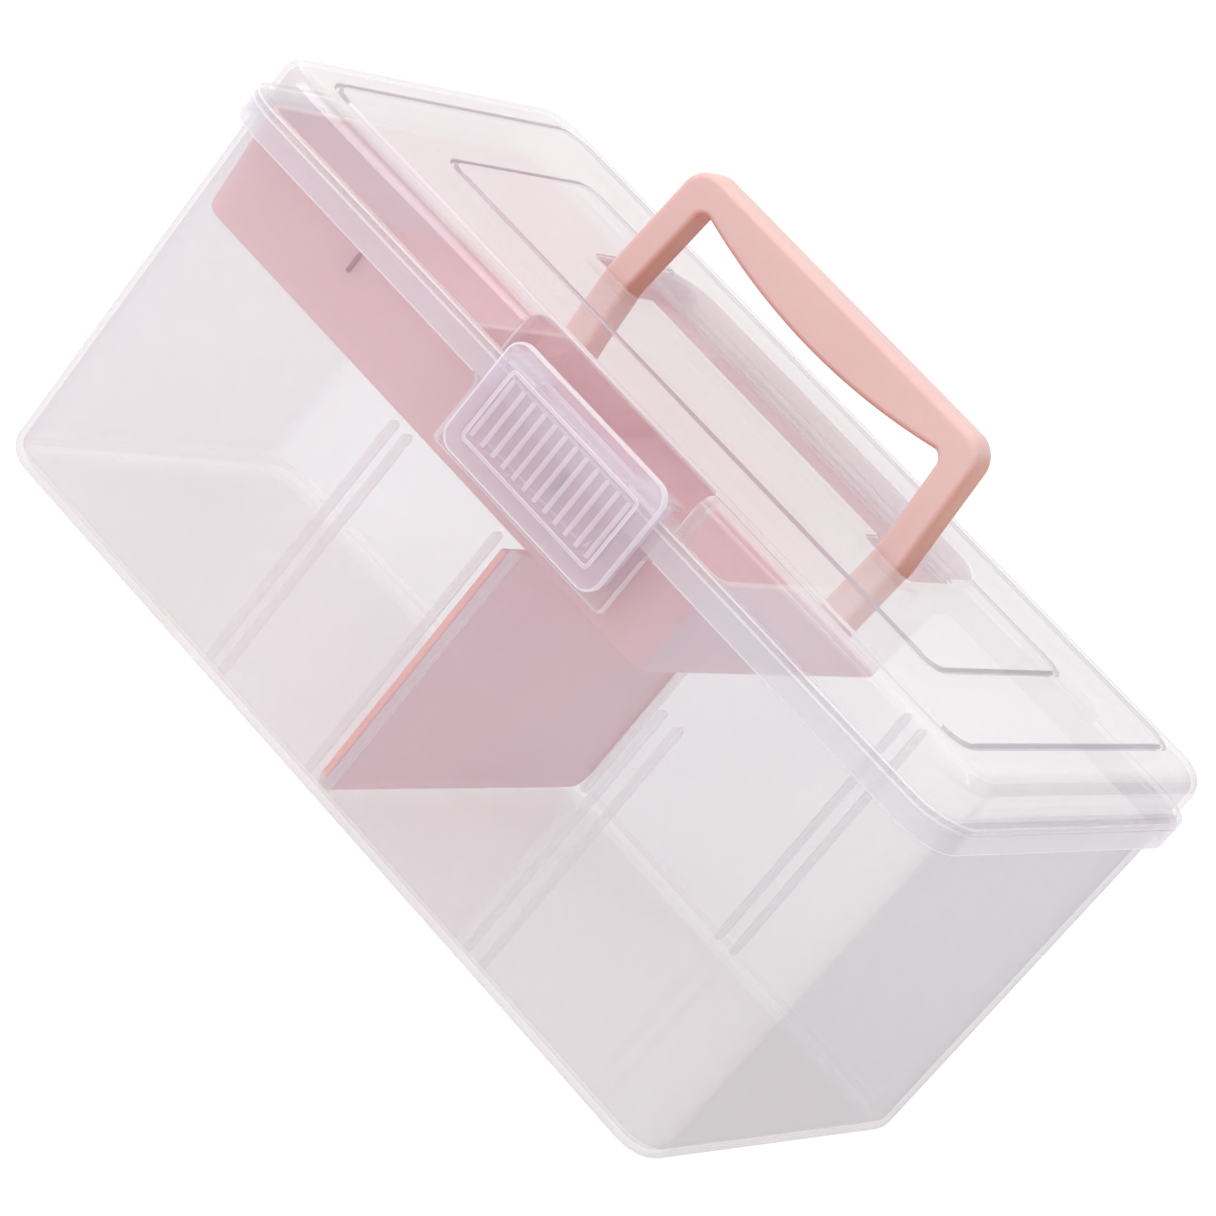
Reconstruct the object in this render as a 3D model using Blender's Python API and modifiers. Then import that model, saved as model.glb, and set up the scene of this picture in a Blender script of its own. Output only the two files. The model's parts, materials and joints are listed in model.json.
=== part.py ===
"""Clear plastic art supply box: tub, hinged lid, front latch, folding bail handle,
sliding tray with its partition, and a tall divider that stands in the tub's guide ribs.

Frame: metres, +Z up, +X along the length, -Y at the latch side, origin at the middle of
the underside. Every part is modelled in place, with the box shut and the handle upright.
"""

import math

import bmesh
import bpy
from mathutils import Vector

# ---------------------------------------------------------------- driving dimensions
LENGTH = 0.320            # outside of the rim band along X
WIDTH = 0.172             # outside of the rim band along Y
RIM_Z = 0.1376            # top face of the tub's rim
LID_TOP_Z = 0.1552        # top of the lid, closed
WALL = 0.0020             # wall of tub, lid and tray
GAP = 0.0003              # gap between pieces that touch
CORNER_STEPS = 6          # straight steps in each rounded corner
FILLET_STEPS = 3          # straight steps in each rounded edge
ROUND_STEPS = 20          # sides of pins and rods

HALF_L = LENGTH / 2
HALF_W = WIDTH / 2

# rim band and tub wall
BAND_DEPTH = 0.0080       # height of the skirt that hangs from the rim
BAND_THICK = 0.0016
BAND_RADIUS = 0.0165      # plan radius of the band's corners
BAND_EDGE = 0.0006        # chamfer along the band's lower edge
WALL_INSET = 0.0034       # tub wall's outer face, in from the band, just below the rim
DRAFT_X = 0.0031          # how far the end walls lean in from rim to floor
DRAFT_Y = 0.0010
TUB_CORNER = 0.0130
FLOOR = 0.0026
TUB_FILLET = 0.0070
MIN_CORNER = 0.0020       # no inner corner is sharper than this
ROOT = 0.0005             # how far a joined shape reaches into what carries it

# guide ribs inside the front and back walls
RIB_CENTRES = (-0.0529, -0.0469, -0.0050, 0.0032, 0.0697, 0.0767)
RIB_WIDTH = 0.0025
RIB_DEPTH = 0.0033
RIB_TOP_Z = 0.0998

# apron behind the latch, with the ridge that the latch catches under
APRON_HALF = 0.0376
APRON_BOTTOM_Z = 0.1070
CATCH_Z = 0.1195
CATCH_HALF = 0.0220
CATCH_DEPTH = 0.0021
CATCH_HEIGHT = 0.0018
CATCH_LEAD = 0.0010       # slope above the ridge, which the latch rides over

# rear hinge: two rods on the tub, two hooks on the lid
HINGE_Y = HALF_W + 0.0042
HINGE_Z = RIM_Z
HINGE_X = 0.0960          # middle of each hinge along X
HINGE_ROD = 0.0015
HOOK_HALF = 0.0130
HOOK_INNER = 0.0018
HOOK_OUTER = 0.0034
EAR_THICK = 0.0025
EAR_RADIUS = 0.0023
EAR_BOTTOM_Z = 0.1315
EAR_STEP = 0.0010
EAR_CLEARANCE = 0.0006    # gap between an ear and the end of a hook

# lid
FLANGE = 0.0020
LID_INSET = 0.0026        # dome's outer face, in from the band
LID_CORNER = 0.0140
LID_FILLET = 0.0065
STEP_HALF = (0.1414, 0.0722)
PANEL_HALF = (0.1104, 0.0426)
STEP_RISE = 0.0005
STEP_CORNER = 0.0080
PANEL_CORNER = 0.0060
NOTCH_HALF = 0.0387
NOTCH_BACK = -0.0730
NOTCH_CORNER = 0.0040
CUT_CLEAR = 0.0100        # how far a cutter runs past the face that it opens

# pocket in the lid that takes the folded handle
POCKET_HALF = 0.0700
POCKET_FRONT = 0.0060
POCKET_BACK = 0.0544
POCKET_CORNER = 0.0150
POCKET_FLOOR_Z = 0.1444
WELL_INNER = 0.0528
WELL_OUTER = 0.0722
WELL_FRONT = -0.0046
WELL_CORNER = 0.0030
WELL_OVERLAP = 0.0200     # how far a well's block reaches back into the pocket

# handle
BAIL_Y = 0.00275
BAIL_Z = 0.1509
BAIL_THICK = 0.0116
BAIL_TOP_Z = 0.1992
BAIL_TOP_HALF = 0.0652
BAIL_FOOT_HALF = 0.0676
BAIL_LEG = 0.0106
BAIL_CORNER = 0.0090
GRIP_END_Z = 0.1880       # underside of the grip beside the legs
GRIP_MID_Z = 0.1818       # underside of the grip at its middle
GRIP_STEPS = 10
INNER_CORNER = 0.0035
LEG_STRAIGHT = 0.0040     # how far a leg runs straight up from its pivot
BAIL_EDGE = 0.0020
PIN_RADIUS = 0.0020
PIN_BORE = 0.0023
PIN_ROOT = 0.0040

# latch
LATCH_HALF = 0.0346
LATCH_FRONT = -0.0910
LATCH_TOP_Z = 0.1493
LATCH_BOTTOM_Z = 0.1093
LATCH_PLATE = 0.0020
LATCH_CORNER = 0.0060
LATCH_AXIS_Y = -0.0852
LATCH_AXIS_Z = 0.1424
LATCH_ROD = 0.0015
LATCH_RELIEF = 0.0005     # height of the grip ribs above the plate
SKIRT_THICK = 0.0014
WEB_RADIUS = 0.0022       # round of the end webs about the rod
WEB_HALF = 0.0012
BEAD_HEIGHT = 0.0020
BRACKET_INNER = 0.0210
BRACKET_OUTER = 0.0322
BRACKET_RADIUS = 0.0029
BRACKET_DROP = 0.0008     # underside of a bracket's arm at its root, below the latch's axis
BRACKET_RISE = 0.0012     # top of the arm at its root, above the axis
GRIP_RIBS = 12
GRIP_PITCH = 0.0047
GRIP_HALF = 0.0007
GRIP_LOW_Z = 0.1180
GRIP_HIGH_Z = 0.1385

# tray and its partition
TRAY_LEFT = -0.1525
TRAY_RIGHT = 0.0580
TRAY_HALF_W = 0.0775
TRAY_TOP_Z = 0.1374
TRAY_BOTTOM_Z = RIB_TOP_Z + GAP
TRAY_DRAFT = 0.0026
TRAY_CORNER = 0.0070
TRAY_FILLET = 0.0028
NIB_X = (-0.0967, -0.0008)  # where the partition could also stand
NIB_DEPTH = 0.0022
NIB_HALF = 0.0007
NIB_LOW_Z = 0.1195
NIB_HIGH_Z = 0.1265
PARTITION_X = -0.0545
PARTITION_THICK = 0.0018
PARTITION_DROP = 0.0008    # partition's top edge below the tray's rim

# tall divider
DIVIDER_X = 0.0002
DIVIDER_THICK = 0.0024
DIVIDER_TOP_Z = 0.0975


# ---------------------------------------------------------------- scene and collections
def clear_scene():
    for item in list(bpy.data.objects):
        bpy.data.objects.remove(item, do_unlink=True)


def new_collection(name):
    group = bpy.data.collections.new(name)
    bpy.context.scene.collection.children.link(group)
    return group


clear_scene()
PARTS = new_collection("art_supply_box")
CUTTERS = new_collection("cutters")


# ---------------------------------------------------------------- outlines
def arc(centre, radius, start, end, steps):
    """Points of an arc, both ends included; angles in degrees."""
    points = []
    for i in range(steps + 1):
        angle = math.radians(start + (end - start) * i / steps)
        points.append((centre[0] + radius * math.cos(angle), centre[1] + radius * math.sin(angle)))
    return points


def rounded_rectangle(half_x, half_y, radius, steps=CORNER_STEPS):
    """Counter-clockwise outline of a rectangle with rounded corners."""
    cx = half_x - radius
    cy = half_y - radius
    points = []
    points += arc((cx, cy), radius, 0, 90, steps)
    points += arc((-cx, cy), radius, 90, 180, steps)
    points += arc((-cx, -cy), radius, 180, 270, steps)
    points += arc((cx, -cy), radius, 270, 360, steps)
    return points


def ring(half_x, half_y, radius, z, centre_x=0.0):
    return [Vector((x + centre_x, y, z)) for x, y in rounded_rectangle(half_x, half_y, radius)]


# ---------------------------------------------------------------- mesh makers
def mesh_object(name, bm, group=PARTS):
    bmesh.ops.recalc_face_normals(bm, faces=bm.faces)
    mesh = bpy.data.meshes.new(name)
    bm.to_mesh(mesh)
    bm.free()
    item = bpy.data.objects.new(name, mesh)
    group.objects.link(item)
    return item


def skin(name, rings, group=PARTS):
    """One closed body through a list of rings of equal length, capped at both ends."""
    bm = bmesh.new()
    loops = [[bm.verts.new(point) for point in points] for points in rings]
    for lower, upper in zip(loops, loops[1:]):
        for i in range(len(lower)):
            j = (i + 1) % len(lower)
            bm.faces.new((lower[i], lower[j], upper[j], upper[i]))
    bm.faces.new(loops[0])
    bm.faces.new(loops[-1])
    return mesh_object(name, bm, group)


def prism(name, outline, axis, start, end, group=PARTS):
    """Solid with a flat outline swept along one axis; outline is in the other two axes, in order."""
    def place(point, at):
        u, v = point
        return {"X": (at, u, v), "Y": (u, at, v), "Z": (u, v, at)}[axis]
    rings = [[Vector(place(point, at)) for point in outline] for at in (start, end)]
    return skin(name, rings, group)


def block(name, low, high, group=CUTTERS):
    outline = [(low[0], low[1]), (high[0], low[1]), (high[0], high[1]), (low[0], high[1])]
    return prism(name, outline, "Z", low[2], high[2], group)


def rod(name, centre_y, centre_z, radius, start_x, end_x, group=CUTTERS):
    circle = arc((centre_y, centre_z), radius, 0, 360 - 360 / ROUND_STEPS, ROUND_STEPS - 1)
    return prism(name, circle, "X", start_x, end_x, group)


def move_to_cutters(item):
    for group in list(item.users_collection):
        group.objects.unlink(item)
    CUTTERS.objects.link(item)


def combine(item, tool, operation):
    """Boolean of item with tool, kept as a modifier."""
    if tool.name not in CUTTERS.objects:
        move_to_cutters(tool)
    tool.hide_render = True
    tool.display_type = "WIRE"
    modifier = item.modifiers.new(operation.lower() + "_" + tool.name, "BOOLEAN")
    modifier.object = tool
    modifier.operation = operation
    modifier.solver = "EXACT"


def merge(name, tools, group=CUTTERS):
    """Several solids that don't touch each other, as one object for a single Boolean."""
    bm = bmesh.new()
    for tool in tools:
        bm.from_mesh(tool.data)
        bpy.data.objects.remove(tool, do_unlink=True)
    return mesh_object(name, bm, group)


def span(side, inner, outer):
    """Low and high end of a stretch from inner to outer, on the side that side gives."""
    return (inner, outer) if side > 0 else (-outer, -inner)


def finish(item, material, angle=35):
    item.data.materials.append(material)
    item.data.shade_smooth()
    item.data.set_sharp_from_angle(angle=math.radians(angle))


def set_joint_origin(item, x, y, z):
    """Puts the object's origin on its joint's axis and leaves its shape where it is."""
    point = Vector((x, y, z))
    for vertex in item.data.vertices:
        vertex.co -= point
    item.location = point


# ---------------------------------------------------------------- materials
def plastic(name, colour, roughness, transmission):
    material = bpy.data.materials.new(name)
    material.use_nodes = True
    shader = material.node_tree.nodes["Principled BSDF"]
    shader.inputs["Base Color"].default_value = (*colour, 1.0)
    shader.inputs["Roughness"].default_value = roughness
    shader.inputs["Metallic"].default_value = 0.0
    shader.inputs["Transmission Weight"].default_value = transmission
    return material


CLEAR = plastic("clear_plastic", (0.90, 0.88, 0.91), 0.12, 0.8)
LILAC = plastic("latch_plastic", (0.80, 0.72, 0.82), 0.20, 0.6)
PINK = plastic("handle_plastic", (0.82, 0.52, 0.52), 0.25, 0.3)
TRAY_PINK = plastic("tray_plastic", (0.80, 0.55, 0.60), 0.25, 0.6)


# ---------------------------------------------------------------- tub
def tub_ring(z, inward=0.0):
    """Section of the tub wall at height z, moved inward from the outer face."""
    drop = 1.0 - z / RIM_Z
    inset_x = WALL_INSET + DRAFT_X * drop + inward
    inset_y = WALL_INSET + DRAFT_Y * drop + inward
    radius = max(TUB_CORNER - inward, MIN_CORNER)
    return ring(HALF_L - inset_x, HALF_W - inset_y, radius, z)


def band_ring(inset, z):
    return ring(HALF_L - inset, HALF_W - inset, BAND_RADIUS - inset, z)


def fillet_rings(section, centre_z, radius, inward_start, start, end):
    """Rings along a rounded edge: section(z, inward) on a quarter arc from start to end degrees."""
    rings = []
    for i in range(FILLET_STEPS + 1):
        angle = math.radians(start + (end - start) * i / FILLET_STEPS)
        z = centre_z + radius * math.sin(angle)
        rings.append(section(z, inward_start + radius * (1 - math.cos(angle))))
    return rings


def tub_shell():
    skirt_bottom = RIM_Z - BAND_DEPTH
    under_rim = RIM_Z - BAND_THICK
    inner_fillet = TUB_FILLET - WALL
    rings = []
    rings += fillet_rings(tub_ring, TUB_FILLET, TUB_FILLET, 0.0, -90, 0)
    rings.append(tub_ring(under_rim))
    rings.append(band_ring(BAND_THICK, under_rim))
    rings.append(band_ring(BAND_THICK, skirt_bottom))
    rings.append(band_ring(BAND_EDGE, skirt_bottom))
    rings.append(band_ring(0.0, skirt_bottom + BAND_EDGE))
    rings.append(band_ring(0.0, RIM_Z))
    rings.append(tub_ring(RIM_Z, WALL))
    rings += fillet_rings(tub_ring, FLOOR + inner_fillet, inner_fillet, WALL, 0, -90)
    return skin("tub", rings)


def tub_core():
    """Solid whose surface runs through the middle of the tub's wall, to trim what is joined to it."""
    middle = WALL / 2
    rings = fillet_rings(tub_ring, TUB_FILLET, TUB_FILLET - middle, middle, -90, 0)
    rings.append(tub_ring(RIM_Z, middle))
    return skin("tub_core", rings, CUTTERS)


def inner_wall_y(z):
    return HALF_W - WALL_INSET - DRAFT_Y * (1 - z / RIM_Z) - WALL


def guide_ribs():
    """Half-round-topped ribs on the inner faces of the front and back walls."""
    ribs = []
    half = RIB_WIDTH / 2
    low_z = FLOOR - ROOT
    for centre in RIB_CENTRES:
        for side in (1, -1):
            tip = inner_wall_y(RIB_TOP_Z) - RIB_DEPTH
            root = inner_wall_y(RIB_TOP_Z) + WALL / 2
            outline = [(centre - half, low_z), (centre + half, low_z)]
            outline += arc((centre, RIB_TOP_Z - half), half, 0, 180, 4)
            low, high = sorted((side * tip, side * root))
            ribs.append(prism("rib", outline, "Y", low, high, CUTTERS))
    ribs = merge("guide_ribs", ribs)
    combine(ribs, tub_core(), "INTERSECT")
    return ribs


def apron():
    """Plate that hangs from the front band, with its two returns to the wall."""
    front = -HALF_W
    back = front + BAND_THICK
    wall_y = -(HALF_W - WALL_INSET) + WALL / 2
    top = RIM_Z - BAND_THICK / 2
    plate = block("apron", (-APRON_HALF, front, APRON_BOTTOM_Z), (APRON_HALF, back, top))
    returns = []
    for side in (1, -1):
        low, high = span(side, APRON_HALF - BAND_THICK, APRON_HALF)
        returns.append(block("apron_side", (low, front + ROOT, APRON_BOTTOM_Z), (high, wall_y, top)))
    for item in returns:
        combine(plate, item, "UNION")
    catch_low = CATCH_Z - CATCH_HEIGHT / 2
    catch_high = CATCH_Z + CATCH_HEIGHT / 2
    outline = [(back, catch_low), (back, catch_high + CATCH_LEAD), (front, catch_high + CATCH_LEAD)]
    outline += [(front - CATCH_DEPTH, CATCH_Z), (front - CATCH_DEPTH, catch_low)]
    combine(plate, prism("catch_ridge", outline, "X", -CATCH_HALF, CATCH_HALF, CUTTERS), "UNION")
    return plate


def hinge_ears():
    """Two ears and the rod between them, at each end of the back band."""
    pieces = []
    reach = HOOK_HALF + EAR_CLEARANCE
    root = HALF_W - BAND_THICK / 2
    for side in (1, -1):
        for end in (1, -1):
            inner = side * HINGE_X + end * reach
            low, high = sorted((inner, inner + end * EAR_THICK))
            outline = [(root, EAR_BOTTOM_Z), (HINGE_Y - EAR_STEP, EAR_BOTTOM_Z)]
            outline += arc((HINGE_Y, HINGE_Z), EAR_RADIUS, -20, 150, 6)
            outline += [(HINGE_Y - EAR_RADIUS, HINGE_Z - EAR_STEP), (root, HINGE_Z - EAR_STEP)]
            pieces.append(prism("ear", outline, "X", low, high, CUTTERS))
    ears = merge("hinge_ears", pieces)
    rods = []
    for side in (1, -1):
        middle = side * HINGE_X
        end = reach + EAR_THICK / 2
        rods.append(rod("rod", HINGE_Y, HINGE_Z, HINGE_ROD, middle - end, middle + end))
    combine(ears, merge("hinge_rods", rods), "UNION")
    return ears


def make_tub():
    tub = tub_shell()
    combine(tub, guide_ribs(), "UNION")
    combine(tub, apron(), "UNION")
    combine(tub, hinge_ears(), "UNION")
    finish(tub, CLEAR)
    return tub


# ---------------------------------------------------------------- lid
def dome_ring(z, inward=0.0):
    radius = max(LID_CORNER - inward, MIN_CORNER)
    return ring(HALF_L - LID_INSET - inward, HALF_W - LID_INSET - inward, radius, z)


def lid_solid():
    """Outer shape of the lid: flange, dome, rounded top edge and two shallow steps on top."""
    bottom = RIM_Z + GAP
    flange_top = bottom + FLANGE
    top = LID_TOP_Z - 2 * STEP_RISE
    rings = [band_ring(0.0, bottom), band_ring(0.0, flange_top - BAND_EDGE), band_ring(BAND_EDGE, flange_top)]
    rings.append(dome_ring(flange_top))
    rings += fillet_rings(dome_ring, top - LID_FILLET, LID_FILLET, 0.0, 0, 90)
    rings.append(ring(*STEP_HALF, STEP_CORNER, top))
    rings.append(ring(STEP_HALF[0] - STEP_RISE, STEP_HALF[1] - STEP_RISE, STEP_CORNER, top + STEP_RISE))
    rings.append(ring(*PANEL_HALF, PANEL_CORNER, top + STEP_RISE))
    rings.append(ring(PANEL_HALF[0] - STEP_RISE, PANEL_HALF[1] - STEP_RISE, PANEL_CORNER, LID_TOP_Z))
    return skin("lid", rings)


def lid_cavity():
    """Space under the lid, before the pocket's and the notch's walls are left standing in it."""
    top = LID_TOP_Z - 2 * STEP_RISE - WALL
    inner_fillet = LID_FILLET - WALL
    rings = [dome_ring(RIM_Z - ROOT, WALL)]
    rings += fillet_rings(dome_ring, top - inner_fillet, inner_fillet, WALL, 0, 90)
    return skin("lid_cavity", rings, CUTTERS)


def notch_block(name, grow, bottom):
    """Block of the latch notch in the lid's front; grow is how far it is offset outward."""
    back = NOTCH_BACK + grow
    front = -HALF_W - CUT_CLEAR
    half_depth = (back - front) / 2
    outline = rounded_rectangle(NOTCH_HALF + grow, half_depth, NOTCH_CORNER + grow)
    outline = [(x, y + front + half_depth) for x, y in outline]
    return prism(name, outline, "Z", bottom, LID_TOP_Z + CUT_CLEAR, CUTTERS)


def pocket_block(name, grow, floor):
    """Block of the handle's pocket, with the two wells that reach forward around its legs."""
    top = LID_TOP_Z + CUT_CLEAR
    half_depth = (POCKET_BACK - POCKET_FRONT) / 2
    outline = rounded_rectangle(POCKET_HALF + grow, half_depth + grow, POCKET_CORNER + grow)
    outline = [(x, y + POCKET_FRONT + half_depth) for x, y in outline]
    pocket = prism(name, outline, "Z", floor, top, CUTTERS)
    wells = []
    for side in (1, -1):
        half_x = (WELL_OUTER - WELL_INNER) / 2 + grow
        back = POCKET_FRONT + WELL_OVERLAP
        half_y = (back - WELL_FRONT) / 2 + grow
        centre = (side * (WELL_OUTER + WELL_INNER) / 2, (back + WELL_FRONT) / 2)
        shape = rounded_rectangle(half_x, half_y, WELL_CORNER + grow)
        shape = [(x + centre[0], y + centre[1]) for x, y in shape]
        wells.append(prism("well", shape, "Z", floor, top, CUTTERS))
    combine(pocket, merge(name + "_wells", wells), "UNION")
    return pocket


def latch_brackets():
    """Two arms from the notch's back wall, each hooked round the latch's rod from above."""
    pieces = []
    root = NOTCH_BACK + WALL / 2
    for side in (1, -1):
        low, high = span(side, BRACKET_INNER, BRACKET_OUTER)
        outline = [(root, LATCH_AXIS_Z - BRACKET_DROP), (root, LATCH_AXIS_Z + BRACKET_RISE)]
        outline += arc((LATCH_AXIS_Y, LATCH_AXIS_Z), BRACKET_RADIUS, 90, 250, 8)
        outline += arc((LATCH_AXIS_Y, LATCH_AXIS_Z), LATCH_ROD + GAP, 250, 10, 10)
        pieces.append(prism("bracket", outline, "X", low, high, CUTTERS))
    return merge("latch_brackets", pieces)


def hinge_hooks():
    """Two C-shaped hooks on the lid's back flange, round the tub's rods."""
    pieces = []
    bottom = RIM_Z + GAP
    for side in (1, -1):
        low = side * HINGE_X - HOOK_HALF
        high = side * HINGE_X + HOOK_HALF
        outline = [(HALF_W - WALL, bottom), (HALF_W - WALL, bottom + FLANGE), (HALF_W + ROOT, bottom + FLANGE)]
        outline += arc((HINGE_Y, HINGE_Z), HOOK_OUTER, 110, -60, 10)
        outline += arc((HINGE_Y, HINGE_Z), HOOK_INNER, -60, 172, 12)
        pieces.append(prism("hook", outline, "X", low, high, CUTTERS))
    return merge("hinge_hooks", pieces)


def pivot_holes():
    holes = []
    for side in (1, -1):
        low, high = span(side, WELL_OUTER - WALL, WELL_OUTER + 1.5 * WALL)
        holes.append(rod("hole", BAIL_Y, BAIL_Z, PIN_BORE, low, high))
    return merge("pivot_holes", holes)


def make_lid():
    lid = lid_solid()
    cavity = lid_cavity()
    flange_top = RIM_Z + GAP + FLANGE
    combine(cavity, notch_block("notch_liner", WALL, RIM_Z - CUT_CLEAR), "DIFFERENCE")
    combine(cavity, pocket_block("pocket_liner", WALL, POCKET_FLOOR_Z - WALL), "DIFFERENCE")
    combine(lid, cavity, "DIFFERENCE")
    combine(lid, notch_block("notch", 0.0, flange_top), "DIFFERENCE")
    combine(lid, pocket_block("pocket", 0.0, POCKET_FLOOR_Z), "DIFFERENCE")
    combine(lid, latch_brackets(), "UNION")
    combine(lid, hinge_hooks(), "UNION")
    combine(lid, pivot_holes(), "DIFFERENCE")
    finish(lid, CLEAR)
    return lid


# ---------------------------------------------------------------- handle
def bail_outline():
    """Front outline of the arch: splayed legs with round feet, a grip that is deepest in its middle."""
    foot_z = BAIL_Z - BAIL_THICK / 2
    leg_z = BAIL_Z + LEG_STRAIGHT
    right_outer = [(BAIL_FOOT_HALF, foot_z), (BAIL_FOOT_HALF, leg_z)]
    right_outer += arc((BAIL_TOP_HALF - BAIL_CORNER, BAIL_TOP_Z - BAIL_CORNER), BAIL_CORNER, 0, 80, 5)
    left_outer = [(-x, z) for x, z in reversed(right_outer)]
    inner_foot = BAIL_FOOT_HALF - BAIL_LEG
    inner_top = BAIL_TOP_HALF - BAIL_LEG
    left_inner = [(-inner_foot, foot_z), (-inner_foot, leg_z)]
    left_inner += arc((-inner_top + INNER_CORNER, GRIP_END_Z - INNER_CORNER), INNER_CORNER, 180, 100, 3)
    grip_start = -left_inner[-1][0]
    grip = []
    for i in range(1, GRIP_STEPS):
        x = -grip_start + 2 * grip_start * i / GRIP_STEPS
        bow = 1 - (x / grip_start) ** 2
        grip.append((x, GRIP_END_Z - (GRIP_END_Z - GRIP_MID_Z) * bow))
    right_inner = [(-x, z) for x, z in reversed(left_inner)]
    return right_outer + left_outer + left_inner + grip + right_inner


def foot_clearance():
    """Block that trims the legs' feet round their pivot: all below the axis outside the foot's round."""
    radius = BAIL_THICK / 2
    reach = radius + BAIL_EDGE
    outline = [(BAIL_Y - reach, BAIL_Z), (BAIL_Y - reach, BAIL_Z - reach)]
    outline += [(BAIL_Y + reach, BAIL_Z - reach), (BAIL_Y + reach, BAIL_Z)]
    outline += arc((BAIL_Y, BAIL_Z), radius, 0, -180, 10)
    return prism("foot_trim", outline, "X", -HALF_L / 2, HALF_L / 2, CUTTERS)


def make_handle():
    handle = prism("handle", bail_outline(), "Y", BAIL_Y - BAIL_THICK / 2, BAIL_Y + BAIL_THICK / 2)
    edge = handle.modifiers.new("edges", "BEVEL")
    edge.width = BAIL_EDGE
    edge.segments = 2
    edge.limit_method = "ANGLE"
    edge.angle_limit = math.radians(60)
    combine(handle, foot_clearance(), "DIFFERENCE")
    pins = []
    for side in (1, -1):
        low, high = span(side, BAIL_FOOT_HALF - PIN_ROOT, WELL_OUTER + WALL - GAP)
        pins.append(rod("pin", BAIL_Y, BAIL_Z, PIN_RADIUS, low, high))
    combine(handle, merge("handle_pins", pins), "UNION")
    finish(handle, PINK)
    set_joint_origin(handle, 0.0, BAIL_Y, BAIL_Z)
    return handle


# ---------------------------------------------------------------- latch
def latch_outline():
    half_z = (LATCH_TOP_Z - LATCH_BOTTOM_Z) / 2
    middle = LATCH_BOTTOM_Z + half_z
    return [(x, z + middle) for x, z in rounded_rectangle(LATCH_HALF, half_z, LATCH_CORNER, 4)]


def latch_side_parts(face, inner):
    """Skirt and rounded end web at each short side of the plate."""
    skirts = []
    webs = []
    for side in (1, -1):
        low, high = span(side, LATCH_HALF - SKIRT_THICK, LATCH_HALF)
        skirt_low = (low, face + LATCH_PLATE / 2, LATCH_BOTTOM_Z + LATCH_CORNER)
        skirts.append(block("skirt", skirt_low, (high, -HALF_W - GAP, LATCH_TOP_Z - LATCH_CORNER)))
        outline = [(inner - ROOT, LATCH_AXIS_Z - WEB_RADIUS)]
        outline += arc((LATCH_AXIS_Y, LATCH_AXIS_Z), WEB_RADIUS, -90, 90, 6)
        outline += [(inner - ROOT, LATCH_AXIS_Z + WEB_RADIUS)]
        webs.append(prism("end_web", outline, "X", low, high, CUTTERS))
    return [merge("latch_skirts", skirts), merge("latch_webs", webs)]


def latch_rod_parts(inner):
    """The rod that the brackets hold, and the web that joins its middle to the plate."""
    web_low = (-BRACKET_INNER + EAR_STEP, inner - ROOT, LATCH_AXIS_Z - WEB_HALF)
    web_high = (BRACKET_INNER - EAR_STEP, LATCH_AXIS_Y, LATCH_AXIS_Z + WEB_HALF)
    reach = LATCH_HALF - ROOT
    axle = rod("latch_rod", LATCH_AXIS_Y, LATCH_AXIS_Z, LATCH_ROD, -reach, reach)
    return [block("latch_web", web_low, web_high), axle]


def latch_bead(inner):
    top = CATCH_Z - CATCH_HEIGHT / 2 - GAP
    low = (-CATCH_HALF, inner - ROOT, top - BEAD_HEIGHT)
    return block("latch_bead", low, (CATCH_HALF, -HALF_W - CATCH_DEPTH - GAP, top))


def latch_grip_ribs(face):
    ribs = []
    for i in range(GRIP_RIBS):
        x = (i - (GRIP_RIBS - 1) / 2) * GRIP_PITCH
        low = (x - GRIP_HALF, LATCH_FRONT, GRIP_LOW_Z)
        ribs.append(block("grip_rib", low, (x + GRIP_HALF, face + ROOT, GRIP_HIGH_Z)))
    return merge("grip_ribs", ribs)


def make_latch():
    """Plate with side skirts, a rod on webs near its top, and a bead that catches under the tub's ridge."""
    face = LATCH_FRONT + LATCH_RELIEF
    inner = face + LATCH_PLATE
    latch = prism("latch", latch_outline(), "Y", face, inner)
    tools = latch_side_parts(face, inner) + latch_rod_parts(inner)
    for tool in tools + [latch_bead(inner), latch_grip_ribs(face)]:
        combine(latch, tool, "UNION")
    finish(latch, LILAC)
    set_joint_origin(latch, 0.0, LATCH_AXIS_Y, LATCH_AXIS_Z)
    return latch


# ---------------------------------------------------------------- tray, partition and divider
def tray_ring(z, inward=0.0):
    lean = TRAY_DRAFT * (TRAY_TOP_Z - z) / (TRAY_TOP_Z - TRAY_BOTTOM_Z)
    half_x = (TRAY_RIGHT - TRAY_LEFT) / 2 - lean - inward
    half_y = TRAY_HALF_W - lean / 2 - inward
    return ring(half_x, half_y, max(TRAY_CORNER - inward, MIN_CORNER), z, (TRAY_RIGHT + TRAY_LEFT) / 2)


def tray_nibs():
    """Short upright ribs inside the tray's long walls."""
    nibs = []
    wall_y = TRAY_HALF_W - WALL
    for x in NIB_X:
        for side in (1, -1):
            low, high = sorted((side * (wall_y - NIB_DEPTH), side * (wall_y + WALL / 2)))
            nibs.append(block("nib", (x - NIB_HALF, low, NIB_LOW_Z), (x + NIB_HALF, high, NIB_HIGH_Z)))
    return merge("tray_nibs", nibs)


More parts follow.
